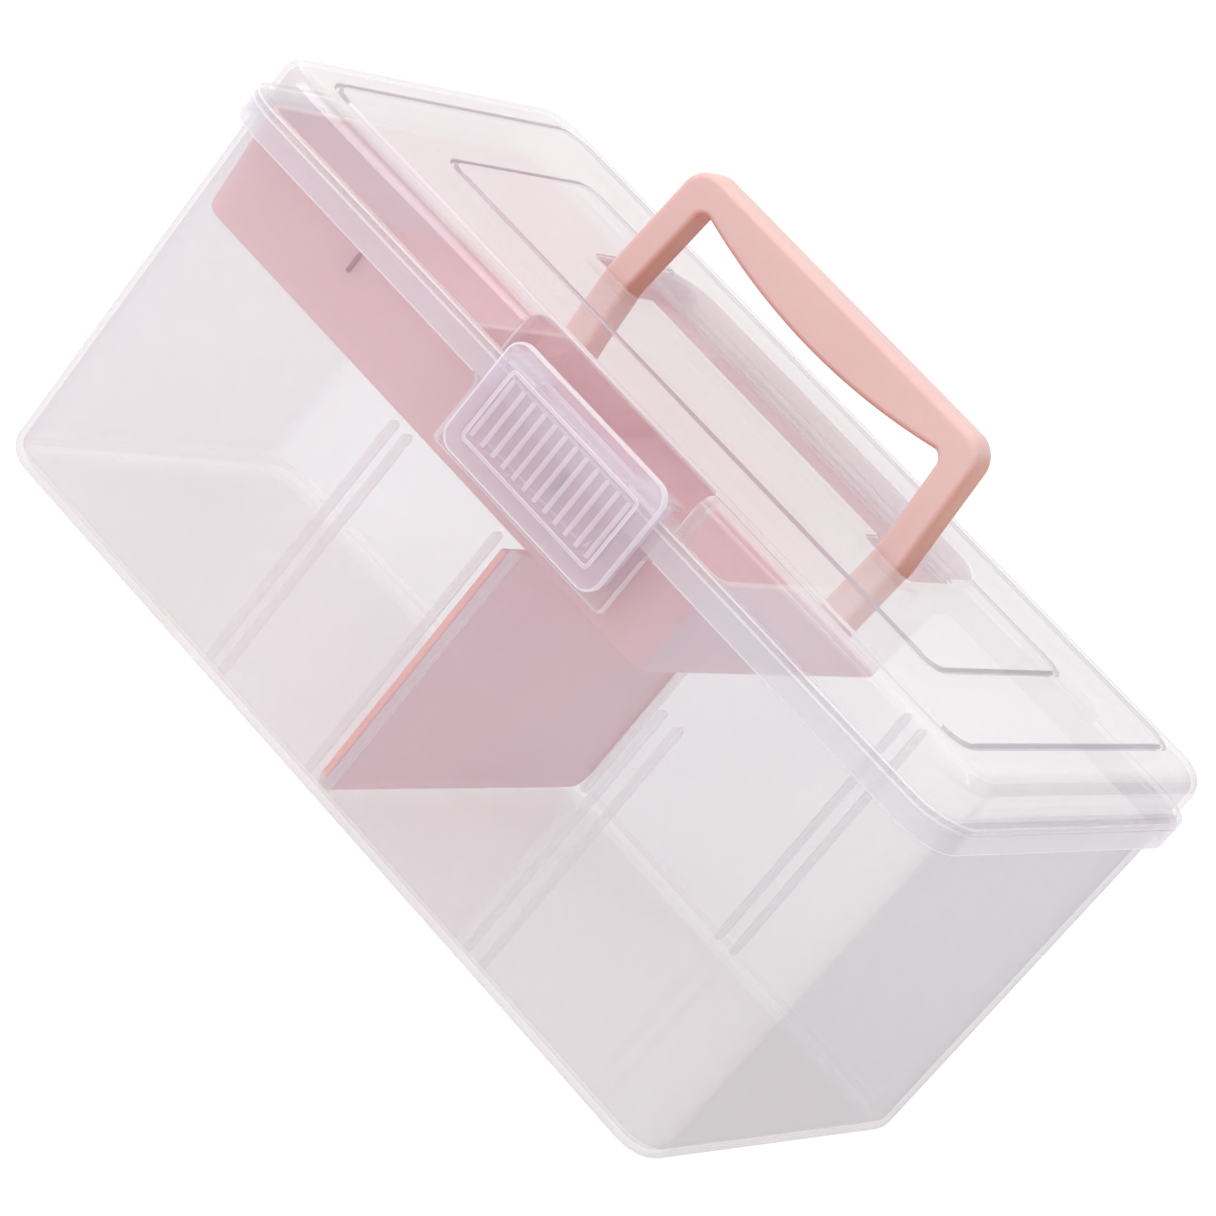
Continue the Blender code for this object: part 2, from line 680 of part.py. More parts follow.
def make_tray():
    inner_fillet = TRAY_FILLET - WALL
    floor_z = TRAY_BOTTOM_Z + WALL
    rings = []
    rings += fillet_rings(tray_ring, TRAY_BOTTOM_Z + TRAY_FILLET, TRAY_FILLET, 0.0, -90, 0)
    rings.append(tray_ring(TRAY_TOP_Z))
    rings.append(tray_ring(TRAY_TOP_Z, WALL))
    rings += fillet_rings(tray_ring, floor_z + inner_fillet, inner_fillet, WALL, 0, -90)
    tray = skin("tray", rings)
    combine(tray, tray_nibs(), "UNION")
    finish(tray, TRAY_PINK)
    return tray


def make_tray_partition():
    """Flat plate across the tray, its lower corners rounded to the tray's inner edge."""
    low_z = TRAY_BOTTOM_Z + WALL + GAP
    top_z = TRAY_TOP_Z - PARTITION_DROP
    lean = TRAY_DRAFT / 2
    top_half = TRAY_HALF_W - WALL - GAP
    low_half = top_half - lean
    corner = TRAY_FILLET
    outline = [(top_half, top_z), (-top_half, top_z)]
    outline += arc((-low_half + corner, low_z + corner), corner, 180, 270, 3)
    outline += arc((low_half - corner, low_z + corner), corner, 270, 360, 3)
    half = PARTITION_THICK / 2
    partition = prism("tray_partition", outline, "X", PARTITION_X - half, PARTITION_X + half)
    finish(partition, TRAY_PINK)
    return partition


def make_tall_divider():
    """Flat plate across the tub, between the middle guide ribs."""
    low_z = FLOOR + GAP
    top_half = inner_wall_y(DIVIDER_TOP_Z) - GAP
    low_half = inner_wall_y(0.0) - GAP
    corner = TUB_FILLET
    outline = [(top_half, DIVIDER_TOP_Z), (-top_half, DIVIDER_TOP_Z)]
    outline += arc((-low_half + corner, low_z + corner), corner, 180, 270, 4)
    outline += arc((low_half - corner, low_z + corner), corner, 270, 360, 4)
    half = DIVIDER_THICK / 2
    divider = prism("tall_divider", outline, "X", DIVIDER_X - half, DIVIDER_X + half)
    finish(divider, TRAY_PINK)
    return divider


make_tub()
make_lid()
make_handle()
make_latch()
make_tray()
make_tray_partition()
make_tall_divider()
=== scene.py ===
"""Looks of the clear art supply box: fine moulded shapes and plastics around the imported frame."""

import json
import math

import bmesh
import bpy
from mathutils import Matrix, Vector


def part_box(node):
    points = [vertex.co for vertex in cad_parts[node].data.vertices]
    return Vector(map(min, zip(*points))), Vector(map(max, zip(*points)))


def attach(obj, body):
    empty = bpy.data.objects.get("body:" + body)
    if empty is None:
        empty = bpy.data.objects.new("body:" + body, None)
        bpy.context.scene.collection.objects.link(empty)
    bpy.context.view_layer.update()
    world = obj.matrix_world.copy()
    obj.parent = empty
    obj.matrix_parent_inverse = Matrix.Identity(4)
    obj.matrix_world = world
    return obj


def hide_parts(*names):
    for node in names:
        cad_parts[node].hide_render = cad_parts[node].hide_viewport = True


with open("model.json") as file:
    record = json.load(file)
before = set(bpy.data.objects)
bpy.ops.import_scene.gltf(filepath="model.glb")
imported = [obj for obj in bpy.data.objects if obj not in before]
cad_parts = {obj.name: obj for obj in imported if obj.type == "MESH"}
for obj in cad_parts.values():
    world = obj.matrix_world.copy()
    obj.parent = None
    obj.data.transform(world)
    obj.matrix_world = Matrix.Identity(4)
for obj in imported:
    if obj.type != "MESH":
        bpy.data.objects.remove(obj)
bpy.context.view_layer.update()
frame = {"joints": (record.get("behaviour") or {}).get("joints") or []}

# ---------------------------------------------------------------- sizes from the frame, in metres
TUB_LOW, TUB_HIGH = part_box("tub")
LID_LOW, LID_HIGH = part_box("lid")
LATCH_LOW, LATCH_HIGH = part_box("latch")
BAIL_LOW, BAIL_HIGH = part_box("handle")
TRAY_LOW, TRAY_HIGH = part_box("tray")
PART_LOW, PART_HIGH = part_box("tray_partition")
DIV_LOW, DIV_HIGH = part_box("tall_divider")
AXIS = {j["name"]: Vector(j["pos_m"]) for j in frame["joints"] if "pos_m" in j}

WALL = 0.0020
GAP = 0.0003
SINK = 0.0005          # how far a piece reaches into the one it is joined to
CUT_PAST = 0.010       # how far a cutter reaches past what it cuts
MIN_CORNER = 0.002     # no inner corner is sharper than this
HINGE_OVERHANG = 0.0042
HALF_L = TUB_HIGH.x
HINGE_Y = AXIS["lid_hinge"].y
HINGE_Z = AXIS["lid_hinge"].z
RIM_Z = HINGE_Z
HALF_W = HINGE_Y - HINGE_OVERHANG
LID_TOP_Z = LID_HIGH.z

CORNER_STEPS = 14
FILLET_STEPS = 7
ROUND_STEPS = 32

# rim band and tub wall
BAND_DEPTH = 0.0080
BAND_THICK = 0.0016
BAND_RADIUS = 0.0165
BAND_EDGE = 0.0007
WALL_INSET = 0.0034
DRAFT_X = 0.0031
DRAFT_Y = 0.0010
TUB_CORNER = 0.0130
FLOOR = 0.0026
TUB_FILLET = 0.0070
RIM_BREAK = 0.0004       # small slope at the inside of the rim
TRIM_GAP = 0.00005

# guide ribs
RIB_CENTRES = (-0.0529, -0.0469, -0.0050, 0.0032, 0.0697, 0.0767)
RIB_WIDTH = 0.0025
RIB_DEPTH = 0.0033
RIB_ROUND = 0.0009
RIB_TOP_Z = TRAY_LOW.z - GAP

# apron and catch ridge
APRON_HALF = 0.0376
APRON_BOTTOM_Z = 0.1070
APRON_SWEEP = 0.0030
APRON_CORNER = 0.002
CATCH_Z = 0.1195
CATCH_HALF = 0.0220
CATCH_DEPTH = 0.0021
CATCH_HEIGHT = 0.0018

# rear hinge
HINGE_X = 0.0960
HINGE_ROD = 0.0015
HOOK_HALF = 0.0130
HOOK_INNER = 0.0018
HOOK_OUTER = LID_HIGH.y - HINGE_Y
EAR_THICK = 0.0025
EAR_RADIUS = 0.0023
EAR_BOTTOM_Z = 0.1315

# lid
FLANGE = 0.0020
LID_INSET = 0.0026
LID_CORNER = 0.0140
LID_FILLET = 0.0065
LIP = 0.0006             # round at the mouth of the notch and of the pocket
STEP_HALF = (0.1414, 0.0722)
PANEL_HALF = (0.1104, 0.0426)
STEP_RISE = 0.0005
GROOVE_WIDTH = 0.0018
GROOVE_DEPTH = 0.0009
STEP_CORNER = 0.0080
PANEL_CORNER = 0.0060
NOTCH_HALF = 0.0387
NOTCH_BACK = -0.0730
NOTCH_CORNER = 0.0040

# handle's pocket
POCKET_HALF = 0.0700
POCKET_FRONT = 0.0060
POCKET_BACK = 0.0544
POCKET_CORNER = 0.0150
POCKET_FLOOR_Z = 0.1444
WELL_INNER = 0.0528
WELL_OUTER = 0.0722
WELL_FRONT = -0.0046
WELL_CORNER = 0.0030
WELL_OVERLAP = 0.020     # how far the wells reach back into the pocket

# handle
BAIL_Y = AXIS["handle_fold"].y
BAIL_Z = AXIS["handle_fold"].z
BAIL_THICK = BAIL_HIGH.y - BAIL_LOW.y
BAIL_TOP_Z = BAIL_HIGH.z
BAIL_TOP_HALF = 0.0652
BAIL_FOOT_HALF = 0.0676
BAIL_LEG = 0.0106
BAIL_CORNER = 0.0090
BAIL_EDGE = 0.0026
LEG_STRAIGHT = 0.004
GRIP_CORNER = 0.0035
GRIP_END_Z = 0.1880
GRIP_MID_Z = 0.1818
PIN_RADIUS = 0.0020
PIN_BORE = 0.0023

# latch
LATCH_HALF = LATCH_HIGH.x
LATCH_FRONT = LATCH_LOW.y
LATCH_PLATE = 0.0020
LATCH_CORNER = 0.0060
LATCH_EDGE = 0.0008
LATCH_Y = AXIS["latch_pivot"].y
LATCH_Z = AXIS["latch_pivot"].z
LATCH_ROD = 0.0015
SKIRT_THICK = 0.0014
WEB_RADIUS = 0.0022
FACE_SINK = 0.0005       # how far the face lies behind the ribs' fronts
BRACKET_INNER = 0.0210
BRACKET_OUTER = 0.0322
BRACKET_RADIUS = 0.0029
BRACKET_DROP = 0.0008
BRACKET_RISE = 0.0012
GRIP_RIBS = 12
GRIP_PITCH = 0.0047
GRIP_SINK = 0.0010
GRIP_RIB_HALF = 0.0008
GRIP_LOW_Z = 0.1176
GRIP_HIGH_Z = 0.1388
BORDER_HALF = 0.0280
BORDER_LOW_Z = 0.1156
BORDER_HIGH_Z = 0.1408
LINE_HALF = 0.0006

# tray
TRAY_MID = (TRAY_LOW.x + TRAY_HIGH.x) / 2
TRAY_HALF_L = (TRAY_HIGH.x - TRAY_LOW.x) / 2
TRAY_HALF_W = TRAY_HIGH.y
TRAY_DRAFT = 0.0026
TRAY_CORNER = 0.0070
TRAY_FILLET = 0.0028
NIB_X = (-0.0967, -0.0008)
NIB_DEPTH = 0.0022
NIB_PROUD = 0.0003
NIB_HALF = 0.0007
NIB_LOW_Z = 0.1195
NIB_HIGH_Z = 0.1265
TRAY_LIP = 0.0005


# ---------------------------------------------------------------- outlines
def arc(centre, radius, start, end, steps):
    """Points of an arc, both ends included; angles in degrees."""
    points = []
    for i in range(steps + 1):
        angle = math.radians(start + (end - start) * i / steps)
        points.append((centre[0] + radius * math.cos(angle), centre[1] + radius * math.sin(angle)))
    return points


def rounded_rectangle(half_x, half_y, radius, steps=CORNER_STEPS, centre=(0.0, 0.0)):
    """Counter-clockwise outline of a rectangle with rounded corners."""
    points = []
    for sign_x, sign_y, start in ((1, 1, 0), (-1, 1, 90), (-1, -1, 180), (1, -1, 270)):
        corner = (centre[0] + sign_x * (half_x - radius), centre[1] + sign_y * (half_y - radius))
        points += arc(corner, radius, start, start + 90, steps)
    return points


def ring(half_x, half_y, radius, z, centre_x=0.0):
    outline = rounded_rectangle(half_x, half_y, radius, centre=(centre_x, 0.0))
    return [Vector((x, y, z)) for x, y in outline]


def span(side, inner, outer):
    """Low and high end of a stretch from inner to outer, on the side that side gives."""
    return (inner, outer) if side > 0 else (-outer, -inner)


# ---------------------------------------------------------------- mesh makers
def mesh_object(name, bm):
    bmesh.ops.recalc_face_normals(bm, faces=bm.faces)
    mesh = bpy.data.meshes.new(name)
    bm.to_mesh(mesh)
    bm.free()
    item = bpy.data.objects.new(name, mesh)
    bpy.context.scene.collection.objects.link(item)
    return item


def skin(name, rings):
    """One closed body through a list of rings of equal length, capped at both ends."""
    bm = bmesh.new()
    loops = [[bm.verts.new(point) for point in points] for points in rings]
    for lower, upper in zip(loops, loops[1:]):
        for i in range(len(lower)):
            j = (i + 1) % len(lower)
            bm.faces.new((lower[i], lower[j], upper[j], upper[i]))
    bm.faces.new(loops[0])
    bm.faces.new(loops[-1])
    return mesh_object(name, bm)


def prism(name, outline, axis, start, end):
    """Solid with a flat outline swept along one axis; outline is in the other two axes, in order."""
    def section(at):
        turned = {"X": lambda u, v: (at, u, v), "Y": lambda u, v: (u, at, v), "Z": lambda u, v: (u, v, at)}
        return [Vector(turned[axis](u, v)) for u, v in outline]
    return skin(name, [section(start), section(end)])


def block(name, low, high):
    outline = [(low[0], low[1]), (high[0], low[1]), (high[0], high[1]), (low[0], high[1])]
    return prism(name, outline, "Z", low[2], high[2])


def rod(name, centre_y, centre_z, radius, start_x, end_x):
    circle = arc((centre_y, centre_z), radius, 0, 360 - 360 / ROUND_STEPS, ROUND_STEPS - 1)
    return prism(name, circle, "X", start_x, end_x)


def merge(name, pieces):
    """Several solids that don't touch each other, as one object."""
    bm = bmesh.new()
    for piece in pieces:
        bm.from_mesh(piece.data)
        bpy.data.objects.remove(piece, do_unlink=True)
    return mesh_object(name, bm)


def apply(item):
    """Puts the evaluated mesh in the object and drops its modifiers."""
    bpy.context.view_layer.update()
    graph = bpy.context.evaluated_depsgraph_get()
    mesh = bpy.data.meshes.new_from_object(item.evaluated_get(graph))
    item.modifiers.clear()
    item.data = mesh
    return item


def combine(item, tool, operation):
    """Boolean of item with tool, applied; tool is removed."""
    modifier = item.modifiers.new(operation.lower(), "BOOLEAN")
    modifier.object = tool
    modifier.operation = operation
    modifier.solver = "EXACT"
    apply(item)
    bpy.data.objects.remove(tool, do_unlink=True)
    return item


def soften(item, width, segments=3, angle=50):
    """Rounds every edge sharper than angle, in degrees."""
    modifier = item.modifiers.new("edges", "BEVEL")
    modifier.width = width
    modifier.segments = segments
    modifier.limit_method = "ANGLE"
    modifier.angle_limit = math.radians(angle)
    modifier.miter_outer = "MITER_ARC"
    return apply(item)


def smooth(item, angle=35):
    """Smooth shading with flat faces kept flat."""
    item.data.shade_smooth()
    item.data.set_sharp_from_angle(angle=math.radians(angle))
    weighted = item.modifiers.new("weighted_normals", "WEIGHTED_NORMAL")
    weighted.keep_sharp = True
    weighted.weight = 100
    return item


def paint(item, slot, test):
    """Gives the faces that pass test the material in that slot."""
    for face in item.data.polygons:
        if test(face.center, face.normal):
            face.material_index = slot


def place(item, body, node, slot, *materials):
    """Gives a finished piece its materials, and says what it rides on and replaces; slot is not used."""
    indices = [face.material_index for face in item.data.polygons]
    item.data.materials.clear()
    for material in materials:
        item.data.materials.append(material)
    for face, index in zip(item.data.polygons, indices):
        face.material_index = min(index, len(materials) - 1)
    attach(item, body)
    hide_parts(node)


# ---------------------------------------------------------------- plastics
def new_plastic(name, colour, roughness):
    """A Principled plastic with its node tree, to which each plastic adds its own detail."""
    material = bpy.data.materials.new(name)
    material.use_nodes = True
    tree = material.node_tree
    shader = tree.nodes["Principled BSDF"]
    shader.inputs["Base Color"].default_value = (*colour, 1.0)
    shader.inputs["Roughness"].default_value = roughness
    return material, tree, shader


def noise(tree, scale, detail=1.0):
    coordinates = tree.nodes.new("ShaderNodeTexCoord")
    texture = tree.nodes.new("ShaderNodeTexNoise")
    texture.inputs["Scale"].default_value = scale
    texture.inputs["Detail"].default_value = detail
    tree.links.new(coordinates.outputs["Object"], texture.inputs["Vector"])
    return texture.outputs["Fac"]


def ramp(tree, source, low, high, start=0.35, end=0.65):
    """Colour between low and high as source goes from start to end."""
    node = tree.nodes.new("ShaderNodeValToRGB")
    for element, position, colour in zip(node.color_ramp.elements, (start, end), (low, high)):
        element.position = position
        element.color = (*colour, 1.0)
    tree.links.new(source, node.inputs["Fac"])
    return node.outputs["Color"]


def spread(tree, source, low, high, start=0.3, end=0.7):
    node = tree.nodes.new("ShaderNodeMapRange")
    for socket, value in zip(("From Min", "From Max", "To Min", "To Max"), (start, end, low, high)):
        node.inputs[socket].default_value = value
    tree.links.new(source, node.inputs["Value"])
    return node.outputs["Result"]


def by_angle(tree, power, low, high):
    """Low where the surface faces the eye, rising to high at a grazing angle."""
    facing = tree.nodes.new("ShaderNodeLayerWeight")
    facing.inputs["Blend"].default_value = 0.5
    curve = tree.nodes.new("ShaderNodeMath")
    curve.operation = "POWER"
    curve.inputs[1].default_value = power
    tree.links.new(facing.outputs["Facing"], curve.inputs[0])
    return spread(tree, curve.outputs["Value"], low, high, 0.0, 1.0)


def mixed(tree, share, first, second):
    """Mix of two shaders; share is a number or the output that gives it."""
    mix = tree.nodes.new("ShaderNodeMixShader")
    if isinstance(share, float):
        mix.inputs["Fac"].default_value = share
    else:
        tree.links.new(share, mix.inputs["Fac"])
    tree.links.new(first, mix.inputs[1])
    tree.links.new(second, mix.inputs[2])
    return mix.outputs["Shader"]


def times(tree, first, second):
    node = tree.nodes.new("ShaderNodeMix")
    node.data_type = "RGBA"
    node.blend_type = "MULTIPLY"
    node.inputs["Factor"].default_value = 1.0
    tree.links.new(first, node.inputs[6])
    tree.links.new(second, node.inputs[7])
    return node.outputs[2]


def shader_node(tree, kind, colour, roughness=None):
    node = tree.nodes.new(kind)
    node.inputs["Color"].default_value = (*colour, 1.0)
    if roughness is not None:
        node.inputs["Roughness"].default_value = roughness
    return node


def bump(tree, shader, source, strength, distance):
    node = tree.nodes.new("ShaderNodeBump")
    node.inputs["Strength"].default_value = strength
    node.inputs["Distance"].default_value = distance
    tree.links.new(source, node.inputs["Height"])
    tree.links.new(node.outputs["Normal"], shader.inputs["Normal"])


# This direction also decides which faces of the handle get painted shade.
BRIGHT_SIDE = Vector((-0.65, -0.10, 0.75)).normalized()    # where the studio is brightest
SLANT_POWER = 2.6    # how much more a sheet tints what is seen through it at a grazing angle


def to_the_right(tree):
    """Mask of the painted shade towards the tub's right-hand end: 0 left of the tub's middle, rising to 1 at
    its right-hand end, a little uneven.
    """
    coordinates = tree.nodes.new("ShaderNodeTexCoord")
    parts = tree.nodes.new("ShaderNodeSeparateXYZ")
    tree.links.new(coordinates.outputs["Object"], parts.inputs["Vector"])
    along = spread(tree, parts.outputs["X"], 0.0, 0.85, -0.25 * HALF_L, HALF_L)
    total = tree.nodes.new("ShaderNodeMath")
    tree.links.new(along, total.inputs[0])
    tree.links.new(spread(tree, noise(tree, 9.0), 0.0, 0.15), total.inputs[1])
    return total.outputs["Value"]


def darker(colour, share):
    return tuple(value * (1.0 - share) for value in colour)


def hazy_plastic(name, tint, haze_colour, haze, edge_haze, gloss_power=5.0, gloss_roughness=0.05,
                 gloss_limit=0.85, right_end_shade=0.0):
    """Clear moulded sheet: tinted see-through, a haze that thickens at grazing angles, and a gloss on top.
    The last argument is painted shade: how much darker its haze gets towards the right-hand end, where what
    is seen through it also darkens a little."""
    material, tree, shader = new_plastic(name, haze_colour, 0.6)
    shader.inputs["Specular IOR Level"].default_value = 0.0
    # Painted shade: the haze darkens towards the right-hand end; without it, the haze's tone varies at
    # random.
    if right_end_shade:
        tone = ramp(tree, to_the_right(tree), haze_colour, darker(haze_colour, right_end_shade), 0.0, 1.0)
    else:
        lighter = tuple(min(1.0, value * 1.03) for value in haze_colour)
        tone = ramp(tree, noise(tree, 11.0), haze_colour, lighter)
    behind = shader_node(tree, "ShaderNodeBsdfTranslucent", haze_colour)
    tree.links.new(tone, shader.inputs["Base Color"])
    tree.links.new(tone, behind.inputs["Color"])
    milk = mixed(tree, 0.45, shader.outputs["BSDF"], behind.outputs["BSDF"])
    clear = shader_node(tree, "ShaderNodeBsdfTransparent", tint)
    slanted = tuple(value ** SLANT_POWER for value in tint)
    seen = ramp(tree, by_angle(tree, 1.5, 0.0, 1.0), tint, slanted, 0.0, 1.0)
    # Painted shade: what is seen through also darkens a little towards the right-hand end.
    if right_end_shade:
        white = (1.0, 1.0, 1.0)
        shaded_tint = ramp(tree, to_the_right(tree), white, darker(white, 0.08 * right_end_shade), 0.0, 1.0)
        seen = times(tree, seen, shaded_tint)
    tree.links.new(seen, clear.inputs["Color"])
    sheet = mixed(tree, by_angle(tree, 3.0, haze, edge_haze), clear.outputs["BSDF"], milk)
    gloss = shader_node(tree, "ShaderNodeBsdfGlossy", (1.0, 1.0, 1.0), gloss_roughness)
    surface = mixed(tree, by_angle(tree, gloss_power, 0.04, gloss_limit), sheet, gloss.outputs["BSDF"])
    tree.links.new(surface, tree.nodes["Material Output"].inputs["Surface"])
    return material


def lit_side(tree):
    """Mask of the handle's painted shade: 1 on faces turned to the brightest part of the studio, 0 on those
    turned away from it.
    """
    geometry = tree.nodes.new("ShaderNodeNewGeometry")
    along = tree.nodes.new("ShaderNodeVectorMath")
    along.operation = "DOT_PRODUCT"
    along.inputs[1].default_value = BRIGHT_SIDE
    tree.links.new(geometry.outputs["Normal"], along.inputs[0])
    return spread(tree, along.outputs["Value"], 0.0, 1.0, -0.65, 0.10)


def handle_plastic():
    """Milky pink with a little subsurface, and painted shade: a deeper, warmer orange on faces turned away
    from the studio's bright side.
    """
    material, tree, shader = new_plastic("handle_plastic", (0.74, 0.49, 0.46), 0.42)
    lit_pink = ramp(tree, noise(tree, 30.0, 3.0), (0.73, 0.485, 0.46), (0.75, 0.505, 0.475))
    shade = tree.nodes.new("ShaderNodeMix")
    shade.data_type = "RGBA"
    tree.links.new(lit_side(tree), shade.inputs["Factor"])
    # Painted shade: the colour of faces turned away from BRIGHT_SIDE; the noisy pink is for lit faces.
    shade.inputs[6].default_value = (0.70, 0.33, 0.25, 1.0)
    tree.links.new(lit_pink, shade.inputs[7])
    tree.links.new(shade.outputs[2], shader.inputs["Base Color"])
    shader.inputs["Subsurface Weight"].default_value = 0.3
    shader.inputs["Subsurface Radius"].default_value = (1.0, 0.45, 0.35)
    shader.inputs["Subsurface Scale"].default_value = 0.004
    tree.links.new(spread(tree, noise(tree, 180.0), 0.38, 0.48), shader.inputs["Roughness"])
    bump(tree, shader, noise(tree, 2600.0, 2.0), 0.10, 0.00008)
    return material


def tray_plastic(name, low, high, share, tint):
    """Frosted pink: light from behind shines through it, and a little of it is see-through."""
    material, tree, shader = new_plastic(name, low, 0.35)
    tree.links.new(ramp(tree, noise(tree, 12.0), low, high), shader.inputs["Base Color"])
    tree.links.new(spread(tree, noise(tree, 90.0), 0.3, 0.42), shader.inputs["Roughness"])
    shader.inputs["Coat Weight"].default_value = 0.2
    shader.inputs["Coat Roughness"].default_value = 0.12
    behind = shader_node(tree, "ShaderNodeBsdfTranslucent", high)
    body = mixed(tree, 0.4, shader.outputs["BSDF"], behind.outputs["BSDF"])
    clear = shader_node(tree, "ShaderNodeBsdfTransparent", tint)
    surface = mixed(tree, share, body, clear.outputs["BSDF"])
    tree.links.new(surface, tree.nodes["Material Output"].inputs["Surface"])
    return material


def edge_plastic():
    """The deeper pink that shows where light comes out of the edge of a pink sheet."""
    material, tree, shader = new_plastic("edge_plastic", (0.95, 0.42, 0.40), 0.35)
    tree.links.new(ramp(tree, noise(tree, 40.0), (0.93, 0.42, 0.42), (0.97, 0.47, 0.42)),
                   shader.inputs["Base Color"])
    return material


CLEAR = hazy_plastic("clear_plastic", (0.962, 0.957, 0.960), (0.88, 0.865, 0.88), 0.10, 0.70)
# The tub's haze carries painted shade towards its right-hand end.
TUB_CLEAR = hazy_plastic("tub_plastic", (0.955, 0.951, 0.955), (0.86, 0.845, 0.865), 0.10, 0.70, 6.0,
                         gloss_limit=0.35, right_end_shade=0.24)
# Painted highlight: a whiter, warmer line on the inner fillet between the tub's floor and walls.
SEAM_HIGHLIGHT = hazy_plastic("seam_highlight", (0.980, 0.975, 0.970), (1.0, 0.97, 0.95), 0.42, 0.75)
# Painted light: the tub's floor gets a brighter, warmer haze, as if lit from above and by the pink around it,
# with painted shade towards its right-hand end.
FLOOR_PAINTED_LIGHT = hazy_plastic("floor_painted_light", (0.975, 0.970, 0.970), (0.98, 0.945, 0.945), 0.12, 0.60,
                           right_end_shade=0.10)
# Painted light: the lid's upward faces get a brighter haze; their stronger, sharper gloss is a real
# reflection.
TOP_PAINTED_LIGHT = hazy_plastic("top_painted_light", (0.972, 0.966, 0.964), (0.96, 0.945, 0.94), 0.16, 0.60, 2.1, 0.03)
BAND_CLEAR = hazy_plastic("band_plastic", (0.965, 0.962, 0.972), (0.90, 0.90, 0.96), 0.36, 0.85)
# Painted shade: the grooves on the lid's top are darker grey, and darken what is seen through them.
GROOVE_SHADE = hazy_plastic("groove_shade", (0.80, 0.78, 0.81), (0.68, 0.65, 0.70), 0.45, 0.80)
POCKET_CLEAR = hazy_plastic("pocket_plastic", (0.965, 0.955, 0.960), (0.86, 0.83, 0.85), 0.42, 0.75)
# Painted highlight: a white haze for the band's and apron's edges, the lid's flange edge, the notch and
# pocket rims, and the latch's outline and border line.
EDGE_HIGHLIGHT = hazy_plastic("edge_highlight", (0.985, 0.980, 0.990), (0.97, 0.96, 0.99), 0.62, 0.90)
# Painted highlight: the guide ribs' faces get a whiter haze, and their rounded sides a brighter one.
RIB_HIGHLIGHT = hazy_plastic("rib_highlight", (0.985, 0.982, 0.985), (1.0, 0.99, 1.0), 0.20, 0.45,
                         gloss_limit=0.3)
RIB_SIDE_HIGHLIGHT = hazy_plastic("rib_side_highlight", (0.975, 0.970, 0.975), (0.97, 0.96, 0.99), 0.35, 0.60,
                        gloss_limit=0.3)
LILAC = hazy_plastic("latch_plastic", (0.978, 0.962, 0.980), (0.90, 0.87, 0.95), 0.17, 0.85)
# Painted highlight: the grip ribs' fronts get a whiter haze, so they read as light stripes.
LATCH_STRIPE_HIGHLIGHT = hazy_plastic("latch_stripe_highlight", (0.990, 0.980, 0.990), (0.98, 0.93, 0.98), 0.46, 0.90)
PINK = handle_plastic()
TRAY_PINK = tray_plastic("tray_plastic", (0.94, 0.69, 0.73), (0.96, 0.73, 0.76), 0.12, (0.97, 0.83, 0.87))
END_PINK = tray_plastic("tray_end", (0.90, 0.79, 0.85), (0.93, 0.83, 0.88), 0.18, (0.97, 0.90, 0.94))
# Painted highlight: a cream pink for the rounded top lips of the tray and partition, and for the divider's
# underside.
LIP_HIGHLIGHT = tray_plastic("lip_highlight", (0.98, 0.86, 0.84), (1.0, 0.89, 0.86), 0.10, (0.98, 0.88, 0.88))
DIVIDER_PINK = tray_plastic("divider_plastic", (0.87, 0.66, 0.74), (0.90, 0.70, 0.76), 0.15,
                            (0.97, 0.82, 0.87))
EDGE_PINK = edge_plastic()
# Painted edge glow: a deep magenta in place of the tray's pink, for light coming out of the nibs' edges.
NIB_EDGE_GLOW = tray_plastic("nib_edge_glow", (0.62, 0.26, 0.40), (0.68, 0.30, 0.44), 0.05, (0.9, 0.6, 0.7))


# ---------------------------------------------------------------- tub
def tub_ring(z, inward=0.0):
    """Section of the tub wall at height z, moved inward from the outer face."""
    drop = 1.0 - z / RIM_Z
    inset_x = WALL_INSET + DRAFT_X * drop + inward
    inset_y = WALL_INSET + DRAFT_Y * drop + inward
    radius = max(TUB_CORNER - inward, MIN_CORNER)
    return ring(HALF_L - inset_x, HALF_W - inset_y, radius, z)


def band_ring(inset, z):
    return ring(HALF_L - inset, HALF_W - inset, BAND_RADIUS - inset, z)


def on_rim(point, depth):
    """Whether a point lies within depth of the band's outer face, in plan."""
    corner = Vector((HALF_L - BAND_RADIUS, HALF_W - BAND_RADIUS))
    out = Vector((max(abs(point.x) - corner.x, 0.0), max(abs(point.y) - corner.y, 0.0)))
    return out.length > BAND_RADIUS - depth


def fillet_rings(section, centre_z, radius, inward, start, end, steps=FILLET_STEPS):
    """Rings along a rounded edge: section(z, inward) on an arc from start to end degrees."""
    rings = []
    for i in range(steps + 1):
        angle = math.radians(start + (end - start) * i / steps)
        rings.append(section(centre_z + radius * math.sin(angle), inward + radius * (1 - math.cos(angle))))
    return rings


def band_section(z, inward):
    return band_ring(inward, z)


